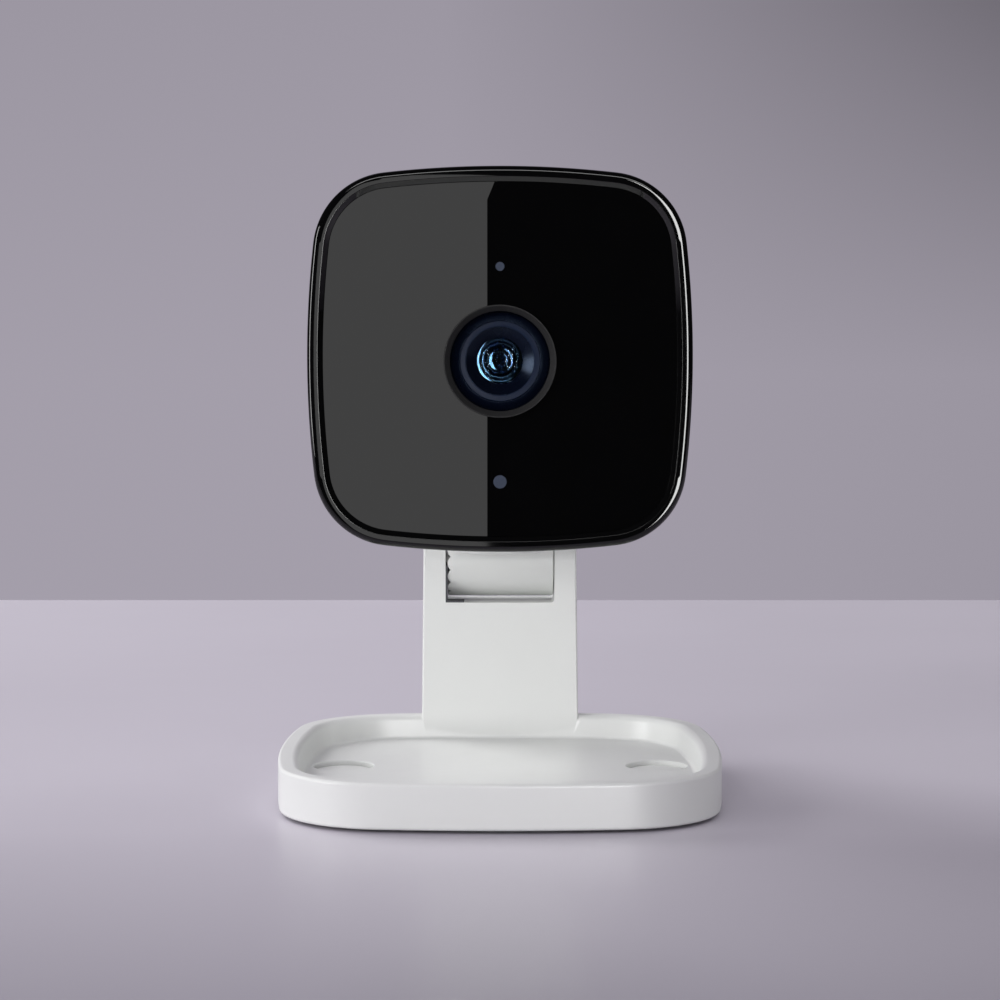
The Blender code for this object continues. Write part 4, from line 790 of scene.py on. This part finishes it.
def make_back_cover():
    """The panel in the head's back, with its grille, screws, inlet and button."""
    front = HEAD_DEPTH - COVER_THICKNESS
    corners = [
        (COVER_INSET + 6 * HOLE_EDGE, -HEAD_DEPTH, 0),
        (COVER_INSET, -HEAD_DEPTH, HOLE_EDGE),
        (COVER_INSET, -front, 0),
    ]
    cover = on_head(swept("rear_panel", head_outline, softened(corners)))
    past = 1.0 * MM
    through = COVER_THICKNESS + past + HOLE_EDGE
    half_edge = HOLE_EDGE / 2
    tools = []
    for x, z in grille_places():
        hole = disc("grille_hole", GRILLE_HOLE, through, 24, half_edge)
        tools.append(on_head(hole, x, z, front - past, -1))
    for node in ("cover_screw_1", "cover_screw_2"):
        wide = outer_radius(node) + FIT_GAP
        recess = disc("screw_recess", wide, SCREW_HEAD + HOLE_EDGE, 48, half_edge)
        tools.append(in_line(recess, node, HEAD_DEPTH - SCREW_HEAD))
        tools.append(in_line(disc("screw_hole", SCREW_BORE, 4 * past, 32), node, front - past))
    button_hole = disc("button_hole", BUTTON_BORE, through, 64, half_edge)
    tools.append(in_line(button_hole, "setup_button", front - past))
    inlet = box_size("power_inlet")
    outline = capsule(inlet.x + 2 * FIT_GAP, inlet.z + 2 * FIT_GAP, 16)
    mouth = prism("inlet_hole", outline, COVER_THICKNESS + 2 * past)
    tools.append(in_line(mouth, "power_inlet", front - past))
    cut(cover, *tools)
    finish_piece(cover, "white_plastic", "head", "back_cover")


def make_cross_screw(name, node):
    """A pan-head screw with a cross recess, its head looking backward."""
    front, back = depths(node)
    radius = outer_radius(node)
    length = back - front - SCREW_HEAD
    head = softened([(0, SCREW_HEAD, 0), (radius, SCREW_HEAD, 0.3 * MM), (radius, 0, 0)])
    shank = [(SCREW_SHANK, 0), (SCREW_SHANK, -length + SCREW_SHANK), (0, -length)]
    screw = turned(name, head + shank, SMALL_TURN_STEPS)
    arms = []
    for turn in (0, math.pi / 2):
        arm = block("recess", (1.7 * MM, 0.42 * MM, 1.2 * MM))
        for vert in arm.data.vertices:
            if vert.co.z < 0.1 * MM:
                vert.co.x *= 0.35
                vert.co.y *= 0.6
        sunk = Matrix.Translation((0, 0, SCREW_HEAD - CROSS_DEPTH))
        arms.append(moved(arm, sunk @ Matrix.Rotation(turn, 4, "Z")))
    cut(screw, *arms)
    finish_piece(in_line(screw, node, back - SCREW_HEAD), "steel", "head", node)


def make_inlet():
    """The power inlet's metal shell with a contact tongue inside."""
    node = "power_inlet"
    front, back = depths(node)
    size = box_size(node)
    inlet = prism("inlet_shell", capsule(size.x, size.z, 16), size.y, 0.08 * MM)
    in_line(inlet, node, front)
    opening = capsule(size.x - 2 * INLET_WALL, size.z - 2 * INLET_WALL, 16)
    mouth = in_line(prism("mouth", opening, size.y), node, front + 1.2 * MM)
    tongue_length = size.y - 1.0 * MM
    tongue = block("tongue", (size.x * 0.72, TONGUE_THICKNESS, tongue_length), 0.08 * MM)
    in_line(tongue, node, back - 0.6 * MM - tongue_length)
    cut(inlet, mouth)
    join(inlet, tongue)
    finish_piece(inlet, "steel", "head", node)


def make_button():
    """The setup button, with a shallow dish in its face and a flange behind the cover."""
    size = box_size("setup_button")
    flange = size.x / 2
    tail = BUTTON_RADIUS * 0.55
    corners = [
        (0, -0.12 * MM, 0),
        (BUTTON_RADIUS * 0.75, -0.02 * MM, 0.4 * MM),
        (BUTTON_RADIUS * 0.8, 0, 0.2 * MM),
        (BUTTON_RADIUS, 0, 0.3 * MM),
        (BUTTON_RADIUS, -BUTTON_FLANGE_TOP, 0),
        (flange, -BUTTON_FLANGE_TOP, 0),
        (flange, -BUTTON_FLANGE_BACK, 0),
        (tail, -BUTTON_FLANGE_BACK, 0),
        (tail, -size.y, 0),
        (0, -size.y, 0),
    ]
    button = turned("reset_button", softened(corners, steps=4), 64)
    in_line(button, "setup_button", depths("setup_button")[1])
    finish_piece(button, "grey_button", "button", "setup_button")


# The lens


def make_trim_ring():
    """A satin ring standing over the window, with a cone that leads in to the lens."""
    front = -TRIM_FRONT
    corners = [
        (TRIM_RADIUS, front, 0.12 * MM),
        (TRIM_RADIUS, front - TRIM_FLANGE, 0.05 * MM),
        (TRIM_TUBE_OUTER, front - TRIM_FLANGE, 0),
        (TRIM_TUBE_OUTER, -TRIM_BACK, 0),
        (TRIM_TUBE_INNER, -TRIM_BACK, 0),
        (TRIM_TUBE_INNER, front - TRIM_CONE_DEPTH, 0.15 * MM),
        (TRIM_RADIUS - TRIM_LAND, front, 0.08 * MM),
    ]
    profile = softened(corners, closed=True)
    finish_lens_piece("trim_cone", profile, "charcoal_ring", "lens_trim_ring")


def make_lens_body():
    """The lens's black barrel: a sloped front, the slate ring's seat, and a dish to the glass."""
    front = -BARREL_FRONT
    seat = RETAINER_RADIUS + 0.03 * MM
    seat_floor = -RETAINER_BACK - 0.02 * MM
    outer = TRIM_TUBE_INNER - 0.06 * MM
    dish_top = RETAINER_RADIUS - RETAINER_WIDTH - 0.03 * MM
    dish_depth = (dish_top - LENS_LIP_RADIUS) * math.tan(math.radians(LENS_DISH_TILT))
    lip_back = -GLASS_FRONT - LENS_LIP_GAP
    bore = GLASS_RADIUS + FIT_GAP
    corners = [
        (outer, front - LENS_SLOPE_DEPTH, 0.05 * MM),
        (outer, front - LENS_SHOULDER_DEPTH, 0),
        (LENS_THREAD_RADIUS, front - LENS_SHOULDER_DEPTH, 0),
        (LENS_THREAD_RADIUS, -BARREL_BACK, 0),
        (bore, -BARREL_BACK, 0),
        (bore, lip_back, 0),
        (LENS_LIP_RADIUS, lip_back, 0),
        (LENS_LIP_RADIUS, -RETAINER_BACK - dish_depth, 0.08 * MM),
        (dish_top, seat_floor, 0),
        (seat, seat_floor, 0),
        (seat, front, 0.03 * MM),
    ]
    profile = softened(corners, closed=True, steps=8)
    finish_lens_piece("lens_body", profile, "lens_black", "lens_barrel")


def make_slate_ring():
    """The ring that locks the front glass, its inner edge lower than its outer one."""
    inner = RETAINER_RADIUS - RETAINER_WIDTH
    edge = 0.12 * MM
    corners = [
        (RETAINER_RADIUS, -RETAINER_FRONT, edge),
        (RETAINER_RADIUS, -RETAINER_BACK, 0.05 * MM),
        (inner, -RETAINER_BACK, 0.05 * MM),
        (inner, -RETAINER_FRONT - edge, edge),
    ]
    profile = softened(corners, closed=True)
    finish_lens_piece("slate_lock_ring", profile, "slate_ring", "lens_retaining_ring")


def dome(radius, bulge):
    """Points from the axis out to the rim of a shallow dome, whose rim is at height 0."""
    steps = 12
    sphere = (radius**2 + bulge**2) / (2 * bulge)
    points = []
    for step in range(steps + 1):
        reach = radius * step / steps
        points.append((reach, math.sqrt(sphere**2 - reach**2) - sphere + bulge))
    return points


def make_glass():
    """The front element, a glass domed on both sides."""
    front_rim = GLASS_THICKNESS + GLASS_BACK_BULGE - GLASS_BACK
    back_rim = front_rim - GLASS_THICKNESS
    front = [(x, front_rim + rise) for x, rise in dome(GLASS_RADIUS, GLASS_FRONT_BULGE)]
    back = [(x, back_rim - rise) for x, rise in dome(GLASS_RADIUS, GLASS_BACK_BULGE)]
    finish_lens_piece("front_glass", front + back[::-1], "lens_glass", "front_lens_element")


def sloped(start, zones):
    """A profile inward from a point, through zones that each turn from one tilt to another."""
    points = [start]
    for width, first, last in zones:
        run = width / ZONE_STEPS
        for step in range(ZONE_STEPS):
            tilt = math.radians(first + (last - first) * (step + 0.5) / ZONE_STEPS)
            radius, height = points[-1]
            points.append((radius - run, height + run * math.tan(tilt)))
    return points


def make_iris():
    """The polished inner elements, whose rings catch the light on one side or the other."""
    rim = GLASS_RADIUS - STACK_CLEARANCE
    back = -STOP_FRONT - STACK_DEPTH
    front = sloped((rim, -STOP_FRONT - STACK_SETBACK), STACK_ZONES.values())
    profile = [*front, (0, front[-1][1]), (0, back), (rim, back)][::-1]
    replaced = ("aperture_stop", "inner_lens_element")
    finish_lens_piece("iris_stack", profile, "lens_glass", *replaced, finish="lens_stack")


# The stand


def arm_shape():
    """The arm: straight in front, and thickened behind up to the round knuckle."""
    foot = TRAY_FLOOR - 0.5 * MM
    side = softened(
        [
            (ARM_FRONT_Y, foot, 0),
            (ARM_BACK_Y, foot, 0),
            (ARM_BACK_Y, ARM_TAPER_BOTTOM, ARM_BEND),
            (HINGE_Y + KNUCKLE_RADIUS, ARM_TAPER_TOP, ARM_BEND),
            (HINGE_Y + KNUCKLE_RADIUS, HINGE_Z, 0),
        ]
    )
    side += arc((HINGE_Y, HINGE_Z), KNUCKLE_RADIUS, 0, 180, 40)[1:]
    shape = raised_face([(-ARM_WIDTH / 2, y, z) for y, z in side], (ARM_WIDTH, 0, 0))
    for vert in shape.verts:
        vert.co.x -= math.copysign(ARM_DRAFT * (vert.co.z - foot), vert.co.x)
    rims = [edge for edge in shape.edges if edge.verts[0].co.x * edge.verts[1].co.x > 0]
    round_edges(shape, rims, ARM_EDGE, 5)
    return solid("arm", shape)


def slot_shape():
    """What is cut from the arm's top for the barrel: straight sides and rounded lower corners."""
    half = SLOT_WIDTH / 2
    top = HINGE_Z + 3 * KNUCKLE_RADIUS
    outline = softened(
        [
            (-half, top, 0),
            (-half, SLOT_FLOOR_Z, 0),
            (half, SLOT_FLOOR_Z, SLOT_CORNER),
            (half, top, 0),
        ],
        closed=True,
    )
    slot = prism("slot", outline, 4 * KNUCKLE_RADIUS)
    return upright(slot, 0, HINGE_Y + 2 * KNUCKLE_RADIUS, 0)


def make_click_leaf():
    """An L-shaped leaf along the slot's left side and floor, by the barrel's scalloped end."""
    gap = 0.01 * MM
    left = -SLOT_WIDTH / 2 + gap
    right = left + LEAF_FOOT
    low = SLOT_FLOOR_Z + gap
    top = HINGE_Z - 0.25 * MM
    outline = [
        (left, low),
        (right, low),
        (right, low + LEAF_THICKNESS),
        (left + LEAF_THICKNESS, low + LEAF_THICKNESS),
        (left + LEAF_THICKNESS, top),
        (left, top),
    ]
    leaf = prism("click_leaf", outline, LEAF_WIDTH)
    upright(leaf, 0, ARM_FRONT_Y + LEAF_SETBACK + LEAF_WIDTH, 0)
    finish_piece(leaf, "dark_steel", "stand", "click_spring")


def make_stand():
    """The tray and its arm, one moulding."""
    corners = [
        (HOLLOW_INSET, TRAY_CEILING, 0),
        (HOLLOW_INSET, BASE_FOOT, 0.15 * MM),
        (0.0, BASE_FOOT, 0.4 * MM),
        (0.0, RIM_HEIGHT, RIM_OUTER_EDGE),
        (WALL_TOP_INSET, RIM_HEIGHT, RIM_INNER_EDGE),
        (WALL_FOOT_INSET, TRAY_FLOOR, WALL_FOOT_FILLET),
        (WALL_FOOT_INSET + 3 * MM, TRAY_FLOOR, 0),
    ]
    stand = swept("stand_body", base_outline, softened(corners, steps=8))
    bosses = []
    for side in (-1, 1):
        boss = disc("screw_boss", BOSS_RADIUS, TRAY_FLOOR - BOSS_FOOT - BOSS_GAP, 64)
        bosses.append(placed(boss, side * PLUG_X, PLUG_Y, BOSS_FOOT))
    join(stand, arm_shape(), *bosses)
    tools = [slot_shape()]
    past = 1 * MM
    pin_hole = disc("pin_hole", PIN_RADIUS + FIT_GAP, ARM_WIDTH + 2 * past, 48)
    tools.append(across(pin_hole, -ARM_WIDTH / 2 - past, HINGE_Y, HINGE_Z))
    for side, end in SIDES:
        pocket = disc("pocket", POCKET_RADIUS, POCKET_DEPTH + POCKET_LIP, edge=POCKET_LIP)
        tools.append(placed(pocket, side * PLUG_X, PLUG_Y, TRAY_FLOOR - POCKET_DEPTH))
        hole = disc("wall_screw_hole", WALL_SCREW_RADIUS, TRAY_FLOOR, 48)
        tools.append(placed(hole, side * PLUG_X, PLUG_Y, 0))
        cap = f"pin_cap_{end}"
        face = abs(box_middle(cap).x) - box_size(cap).x / 2 - FIT_GAP
        recess = disc("cap_recess", box_size(cap).z / 2 + FIT_GAP, CAP_BORE_DEPTH, 64)
        tools.append(across(recess, side * face, HINGE_Y, HINGE_Z, side))
    cut(stand, *tools)
    finish_piece(stand, "white_plastic", "stand", "stand")


def button_shape(name, radius, height, edge, steps=TURN_STEPS):
    """A round cap with a rounded top edge."""
    corners = [(0, height, 0), (radius, height, edge), (radius, 0, 0.05 * MM), (0, 0, 0)]
    return turned(name, softened(corners), steps)


def make_plugs_and_caps():
    for side, end in SIDES:
        plug = button_shape(f"pocket_plug_{end}", PLUG_RADIUS, PLUG_HEIGHT, 0.2 * MM)
        placed(plug, side * PLUG_X, PLUG_Y, PLUG_FOOT)
        finish_piece(plug, "white_plastic", "stand", f"screw_plug_{end}")
    for side, end in SIDES:
        node = f"pin_cap_{end}"
        thickness = box_size(node).x
        cap = button_shape(f"hinge_cap_{end}", box_size(node).z / 2, thickness, 0.15 * MM, 64)
        across(cap, box_middle(node).x - side * thickness / 2, HINGE_Y, HINGE_Z, side)
        finish_piece(cap, "white_plastic", "stand", node)


# The hinge and the neck


def barrel_shape():
    """The hinge barrel. Its left end is scalloped, with a sharp notch between lobes."""
    steps = 24 * CLICK_COUNT
    right = BARREL_RIGHT + FIT_GAP - BARREL_END_GAP
    core = RING_RIGHT + FIT_GAP
    inner = KNUCKLE_RADIUS - CLICK_WALL
    bore = PIN_RADIUS + FIT_GAP
    edge = 0.3 * MM
    shape = bmesh.new()
    levels = []
    for radius, x in (
        (inner, None),
        (inner, core),
        (bore, core),
        (bore, right),
        (KNUCKLE_RADIUS - edge, right),
        (KNUCKLE_RADIUS - edge * 0.3, right - edge * 0.3),
        (KNUCKLE_RADIUS, right - edge),
        (KNUCKLE_RADIUS, core),
        (KNUCKLE_RADIUS, None),
    ):
        level = []
        for step in range(steps):
            angle = 2 * math.pi * step / steps
            place = angle * CLICK_COUNT / (2 * math.pi) - CLICK_PHASE
            lobe = abs(math.sin(math.pi * place)) ** 0.7
            along = RING_LEFT + CLICK_DEPTH * (1 - lobe) if x is None else x
            y = HINGE_Y - radius * math.cos(angle)
            level.append(shape.verts.new((along, y, HINGE_Z + radius * math.sin(angle))))
        levels.append(level)
    for one, other in zip(levels, levels[1:] + levels[:1]):
        bridged(shape, one, other)
    return solid("neck_body", shape)


def make_neck():
    """The hinge barrel, the bar that runs forward under the head, and the swivel boss."""
    neck = barrel_shape()
    top = HINGE_Z + KNUCKLE_RADIUS - NECK_TOP_GAP
    root_y = HINGE_Y - KNUCKLE_RADIUS * 0.55
    tip = top - NECK_TIP - (NECK_ROOT - NECK_TIP) * 0.25
    side_view = [(root_y, top - NECK_ROOT), (root_y, top), (PAN_Y, top), (PAN_Y, tip)]
    edge = 0.25 * MM
    bar = prism("neck_bar", side_view, NECK_WIDTH, edge)
    moved(bar, Matrix(((0, 0, 1, -NECK_WIDTH / 2), (1, 0, 0, 0), (0, 1, 0, 0), (0, 0, 0, 1))))
    boss_top = SHELL_BOTTOM_Z - FIT_GAP
    boss_foot = top - NECK_TIP - 0.35 * MM
    corners = [
        (0, boss_top, 0),
        (SWIVEL_RADIUS, boss_top, 0.05 * MM),
        (SWIVEL_RADIUS, boss_foot, edge),
        (0, boss_foot, 0),
    ]
    boss = placed(turned("swivel_boss", softened(corners)), 0, PAN_Y, 0)
    join(neck, bar, boss)
    hole = disc("swivel_screw_hole", SWIVEL_BORE, 8 * MM, 32)
    cut(neck, placed(hole, 0, PAN_Y, boss_top - 5 * MM))
    finish_piece(neck, "white_plastic", "neck", "hinge_neck", "click_ring")


def make_swivel():
    """The plate that turns on the neck, seen as a step between the neck and the head."""
    low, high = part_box("swivel_disc")
    flange = outer_radius("swivel_disc")
    corners = [
        (flange, high.z, 0.2 * MM),
        (flange, high.z - SWIVEL_FLANGE, 0.2 * MM),
        (SWIVEL_RADIUS, high.z - SWIVEL_FLANGE, 0),
        (SWIVEL_RADIUS, low.z, 0.1 * MM),
        (SWIVEL_BORE, low.z, 0),
        (SWIVEL_BORE, high.z, 0),
    ]
    plate = turned("swivel_plate", softened(corners, closed=True))
    finish_piece(placed(plate, 0, PAN_Y, 0), "white_plastic", "head", "swivel_disc")


# The CAD nodes that stay


def dress_cad_nodes():
    parts = frame["record"]["subparts"]
    slots = {part["node"]: part["material_slot"] for part in parts}
    for name, node in frame["nodes"].items():
        node.data.materials.clear()
        node.data.materials.append(MATERIALS[slots[name]])


# Camera, light and stage

CAMERA_PLACE = Vector((0, -0.370, 0.0641))
CAMERA_PITCH = 3.79
CAMERA_LENS = 99.2
TABLE_BACK = 0.2535
TABLE_SEAM = -0.15
TABLE_FRONT = -1.1
TABLE_SIDE = 1.6
CURTAIN_RADIUS = 1.3
CURTAIN_SWING = 150
CURTAIN_FOOT = -1.2
CURTAIN_TOP = 1.6
CURTAIN_GLOW = 0.02
CARD_Y = -0.9
CARD_GLOW = 1.27
CARD_EDGE = -0.00576
CARD_CORNERS = (
    (-0.105, -0.12),
    (CARD_EDGE, -0.12),
    (CARD_EDGE, 0.117),
    (-0.0016, 0.127),
    (-0.105, 0.20),
)
STRIP_REACH = 1.15
WALL_COLOUR = (0.370, 0.343, 0.402)
TABLE_COLOUR = (0.61, 0.579, 0.642)
# Painted shade: the table top's colour towards its front, reached over the span of Y below
TABLE_PAINTED_SHADE_COLOUR = (0.30, 0.284, 0.325)
TABLE_PAINTED_SHADE_SPAN = (-0.135, -0.03)
# Painted shade on the backdrop: the wall darkens upward, and more so to the right: where each
# change starts and ends
WALL_RIGHT_SPAN = (-0.02, 0.18)
WALL_TOP_SPAN = (-0.02, 0.11)
WALL_CORNER_SHADE = (0.12, 0.45)
# Its painted brightness below and above
WALL_BRIGHTNESS = (1.0, 0.9)

# Glowing strips: azimuths from straight in front (left is negative), heights and strength
STRIPS = {
    "left_strip": (-74, -64, -0.10, 0.45, 12.0),
    "right_strip": (7, 27, -0.16, 0.40, 17.0),
    "top_strip": (-24, 24, 0.62, 0.86, 6.0),
}

# Soft lights: azimuth from straight in front (left is negative), elevation, size and power
SOFT_LIGHTS = {
    "overhead": (0, 75, 0.9, 0.9, 1.05),
    "left_low": (-60, 12, 0.6, 0.5, 5.0),
    "front_low": (0, 6, 0.7, 0.3, 2.1),
    "front_left": (-25, 25, 0.6, 0.5, 1.2),
    "back_left": (-130, 35, 0.6, 0.6, 8.0),
    "back_right": (130, 35, 0.6, 0.6, 2.2),
    "right_low": (60, 12, 0.6, 0.5, 0.7),
}
LIGHT_REACH = 1.1
LIGHT_TARGET = Vector((0, 0, 0.03))


def make_camera():
    data = bpy.data.cameras.new("view")
    data.lens = CAMERA_LENS
    data.sensor_width = 36.0
    data.clip_start = 0.01
    data.clip_end = 20.0
    camera = bpy.data.objects.new("view", data)
    camera.location = CAMERA_PLACE
    camera.rotation_euler = (math.radians(90 - CAMERA_PITCH), 0, 0)
    bpy.context.scene.collection.objects.link(camera)
    bpy.context.scene.camera = camera


def stage_object(name, mesh, material):
    piece = bpy.data.objects.new(name, mesh)
    piece.data.materials.append(material)
    bpy.context.scene.collection.objects.link(piece)
    return piece


def flat_mesh(name, corners):
    mesh = bpy.data.meshes.new(name)
    mesh.from_pydata(corners, [], [tuple(range(len(corners)))])
    return mesh


def make_table():
    """A satin table top with painted shade, darker towards its front, whose front part isn't seen
    in reflections.
    """
    material, shader = new_shader("table_top", TABLE_COLOUR, 0.32)
    vary_roughness(material, shader, 0.28, 0.36, 14.0)
    parts = add_node(material, "ShaderNodeSeparateXYZ")
    link(material, place_on(material), parts.inputs["Vector"])
    # Painted shade: the colour darkens from the far colour to the near one towards the table's
    # front
    painted_shade_fade = ramp_between(material, parts.outputs["Y"], 0, 1, *TABLE_PAINTED_SHADE_SPAN)
    blend_colours(material, shader, painted_shade_fade, TABLE_PAINTED_SHADE_COLOUR, TABLE_COLOUR)
    for name, front, back in (
        ("table", TABLE_SEAM, TABLE_BACK),
        ("table_front", TABLE_FRONT, TABLE_SEAM),
    ):
        places = ((-1, front), (1, front), (1, back), (-1, back))
        corners = [(side * TABLE_SIDE, y, 0) for side, y in places]
        piece = stage_object(name, flat_mesh(name, corners), material)
        piece.visible_glossy = name == "table"
        piece.visible_transmission = name == "table"


def glow(name, strength):
    material = bpy.data.materials.new(name)
    material.use_nodes = True
    nodes = material.node_tree.nodes
    nodes.clear()
    emission = nodes.new("ShaderNodeEmission")
    emission.inputs["Color"].default_value = (1, 1, 1, 1)
    emission.inputs["Strength"].default_value = strength
    output = nodes.new("ShaderNodeOutputMaterial")
    material.node_tree.links.new(emission.outputs["Emission"], output.inputs["Surface"])
    return material


def only_reflected(piece):
    """A stage piece that is seen in polished surfaces and does nothing else."""
    piece.visible_camera = False
    piece.visible_diffuse = False
    piece.visible_shadow = False
    piece.visible_volume_scatter = False


def around(azimuth, reach, z):
    """A place at an azimuth from straight in front, where left is negative."""
    angle = math.radians(azimuth)
    return Vector((reach * math.sin(angle), -reach * math.cos(angle), z))


def make_curtain():
    """A dark curtain and ceiling round the set, so that polished black surfaces stay black."""
    cloth = glow("curtain_cloth", CURTAIN_GLOW)
    shape = bmesh.new()
    steps = 36
    pairs = []
    for step in range(steps + 1):
        azimuth = CURTAIN_SWING * (2 * step / steps - 1)
        low = shape.verts.new(around(azimuth, CURTAIN_RADIUS, CURTAIN_FOOT))
        high = shape.verts.new(around(azimuth, CURTAIN_RADIUS, CURTAIN_TOP))
        pairs.append((low, high))
    for one, other in zip(pairs, pairs[1:]):
        shape.faces.new((one[0], other[0], other[1], one[1]))
    shape.faces.new([high for _, high in pairs])
    mesh = bpy.data.meshes.new("curtain")
    shape.to_mesh(mesh)
    shape.free()
    only_reflected(stage_object("curtain", mesh, cloth))


def off_the_table(piece):
    """Keeps a card's light off the table, which would mirror it as a white patch."""
    group = bpy.data.collections.get("table_parts")
    if group is None:
        group = bpy.data.collections.new("table_parts")
        for name in ("table", "table_front"):
            group.objects.link(bpy.data.objects[name])
        for member in group.collection_objects:
            member.light_linking.link_state = "EXCLUDE"
    piece.light_linking.receiver_collection = group


def make_card(name, corners, strength):
    """A glowing card that only polished surfaces show."""
    card = stage_object(name, flat_mesh(name, corners), glow(name + "_glow", strength))
    only_reflected(card)
    off_the_table(card)
    return card


def make_cards():
    """A grey card for the face's left half, and strips for the lines along its edges."""
    grey = make_card("grey_card", [(x, CARD_Y, z) for x, z in CARD_CORNERS], CARD_GLOW)
    grey.visible_transmission = False
    for name, (left, right, low, high, strength) in STRIPS.items():
        places = ((left, low), (right, low), (right, high), (left, high))
        corners = [around(azimuth, STRIP_REACH, z) for azimuth, z in places]
        make_card(name, corners, strength)


def make_soft_lights():
    for name, (azimuth, elevation, width, height, watts) in SOFT_LIGHTS.items():
        data = bpy.data.lights.new(name, "AREA")
        data.shape = "RECTANGLE"
        data.size = width
        data.size_y = height
        data.energy = watts
        light = bpy.data.objects.new(name, data)
        rise = math.radians(elevation)
        place = around(azimuth, LIGHT_REACH * math.cos(rise), LIGHT_REACH * math.sin(rise))
        light.location = place
        light.rotation_euler = (LIGHT_TARGET - place).to_track_quat("-Z", "Y").to_euler()
        light.visible_camera = False
        light.visible_glossy = False
        light.visible_transmission = False
        bpy.context.scene.collection.objects.link(light)


def make_world():
    """A plain lavender-grey room with painted shade, a little darker up and to the right of the
    backdrop.
    """
    world = bpy.data.worlds.new("studio")
    world.use_nodes = True
    background = world.node_tree.nodes["Background"]
    background.inputs["Color"].default_value = (*WALL_COLOUR, 1)
    place = add_node(world, "ShaderNodeTexCoord").outputs["Generated"]
    parts = add_node(world, "ShaderNodeSeparateXYZ")
    link(world, place, parts.inputs["Vector"])
    # Painted shade: the backdrop darker upward, and more so towards its top-right corner
    to_right = ramp_between(world, parts.outputs["X"], 0, 1, *WALL_RIGHT_SPAN)
    to_top = ramp_between(world, parts.outputs["Z"], 0, 1, *WALL_TOP_SPAN)
    corner = ramp_between(world, to_top, *WALL_CORNER_SHADE, 0, 1)
    shade = add_node(world, "ShaderNodeMath", operation="MULTIPLY")
    link(world, to_right, shade.inputs[0])
    link(world, corner, shade.inputs[1])
    bright = add_node(world, "ShaderNodeMath", operation="SUBTRACT")
    link(world, ramp_between(world, to_top, *WALL_BRIGHTNESS, 0, 1), bright.inputs[0])
    link(world, shade.outputs[0], bright.inputs[1])
    link(world, bright.outputs[0], background.inputs["Strength"])
    bpy.context.scene.world = world


dress_cad_nodes()
make_bezel()
make_window()
make_case()
make_back_cover()
make_cross_screw("rear_screw_1", "cover_screw_1")
make_cross_screw("rear_screw_2", "cover_screw_2")
make_inlet()
make_button()
make_trim_ring()
make_lens_body()
make_slate_ring()
make_glass()
make_iris()
make_stand()
make_plugs_and_caps()
make_click_leaf()
make_neck()
make_swivel()
make_camera()
make_world()
make_table()
make_curtain()
make_cards()
make_soft_lights()
bpy.context.scene.view_settings.view_transform = "Standard"
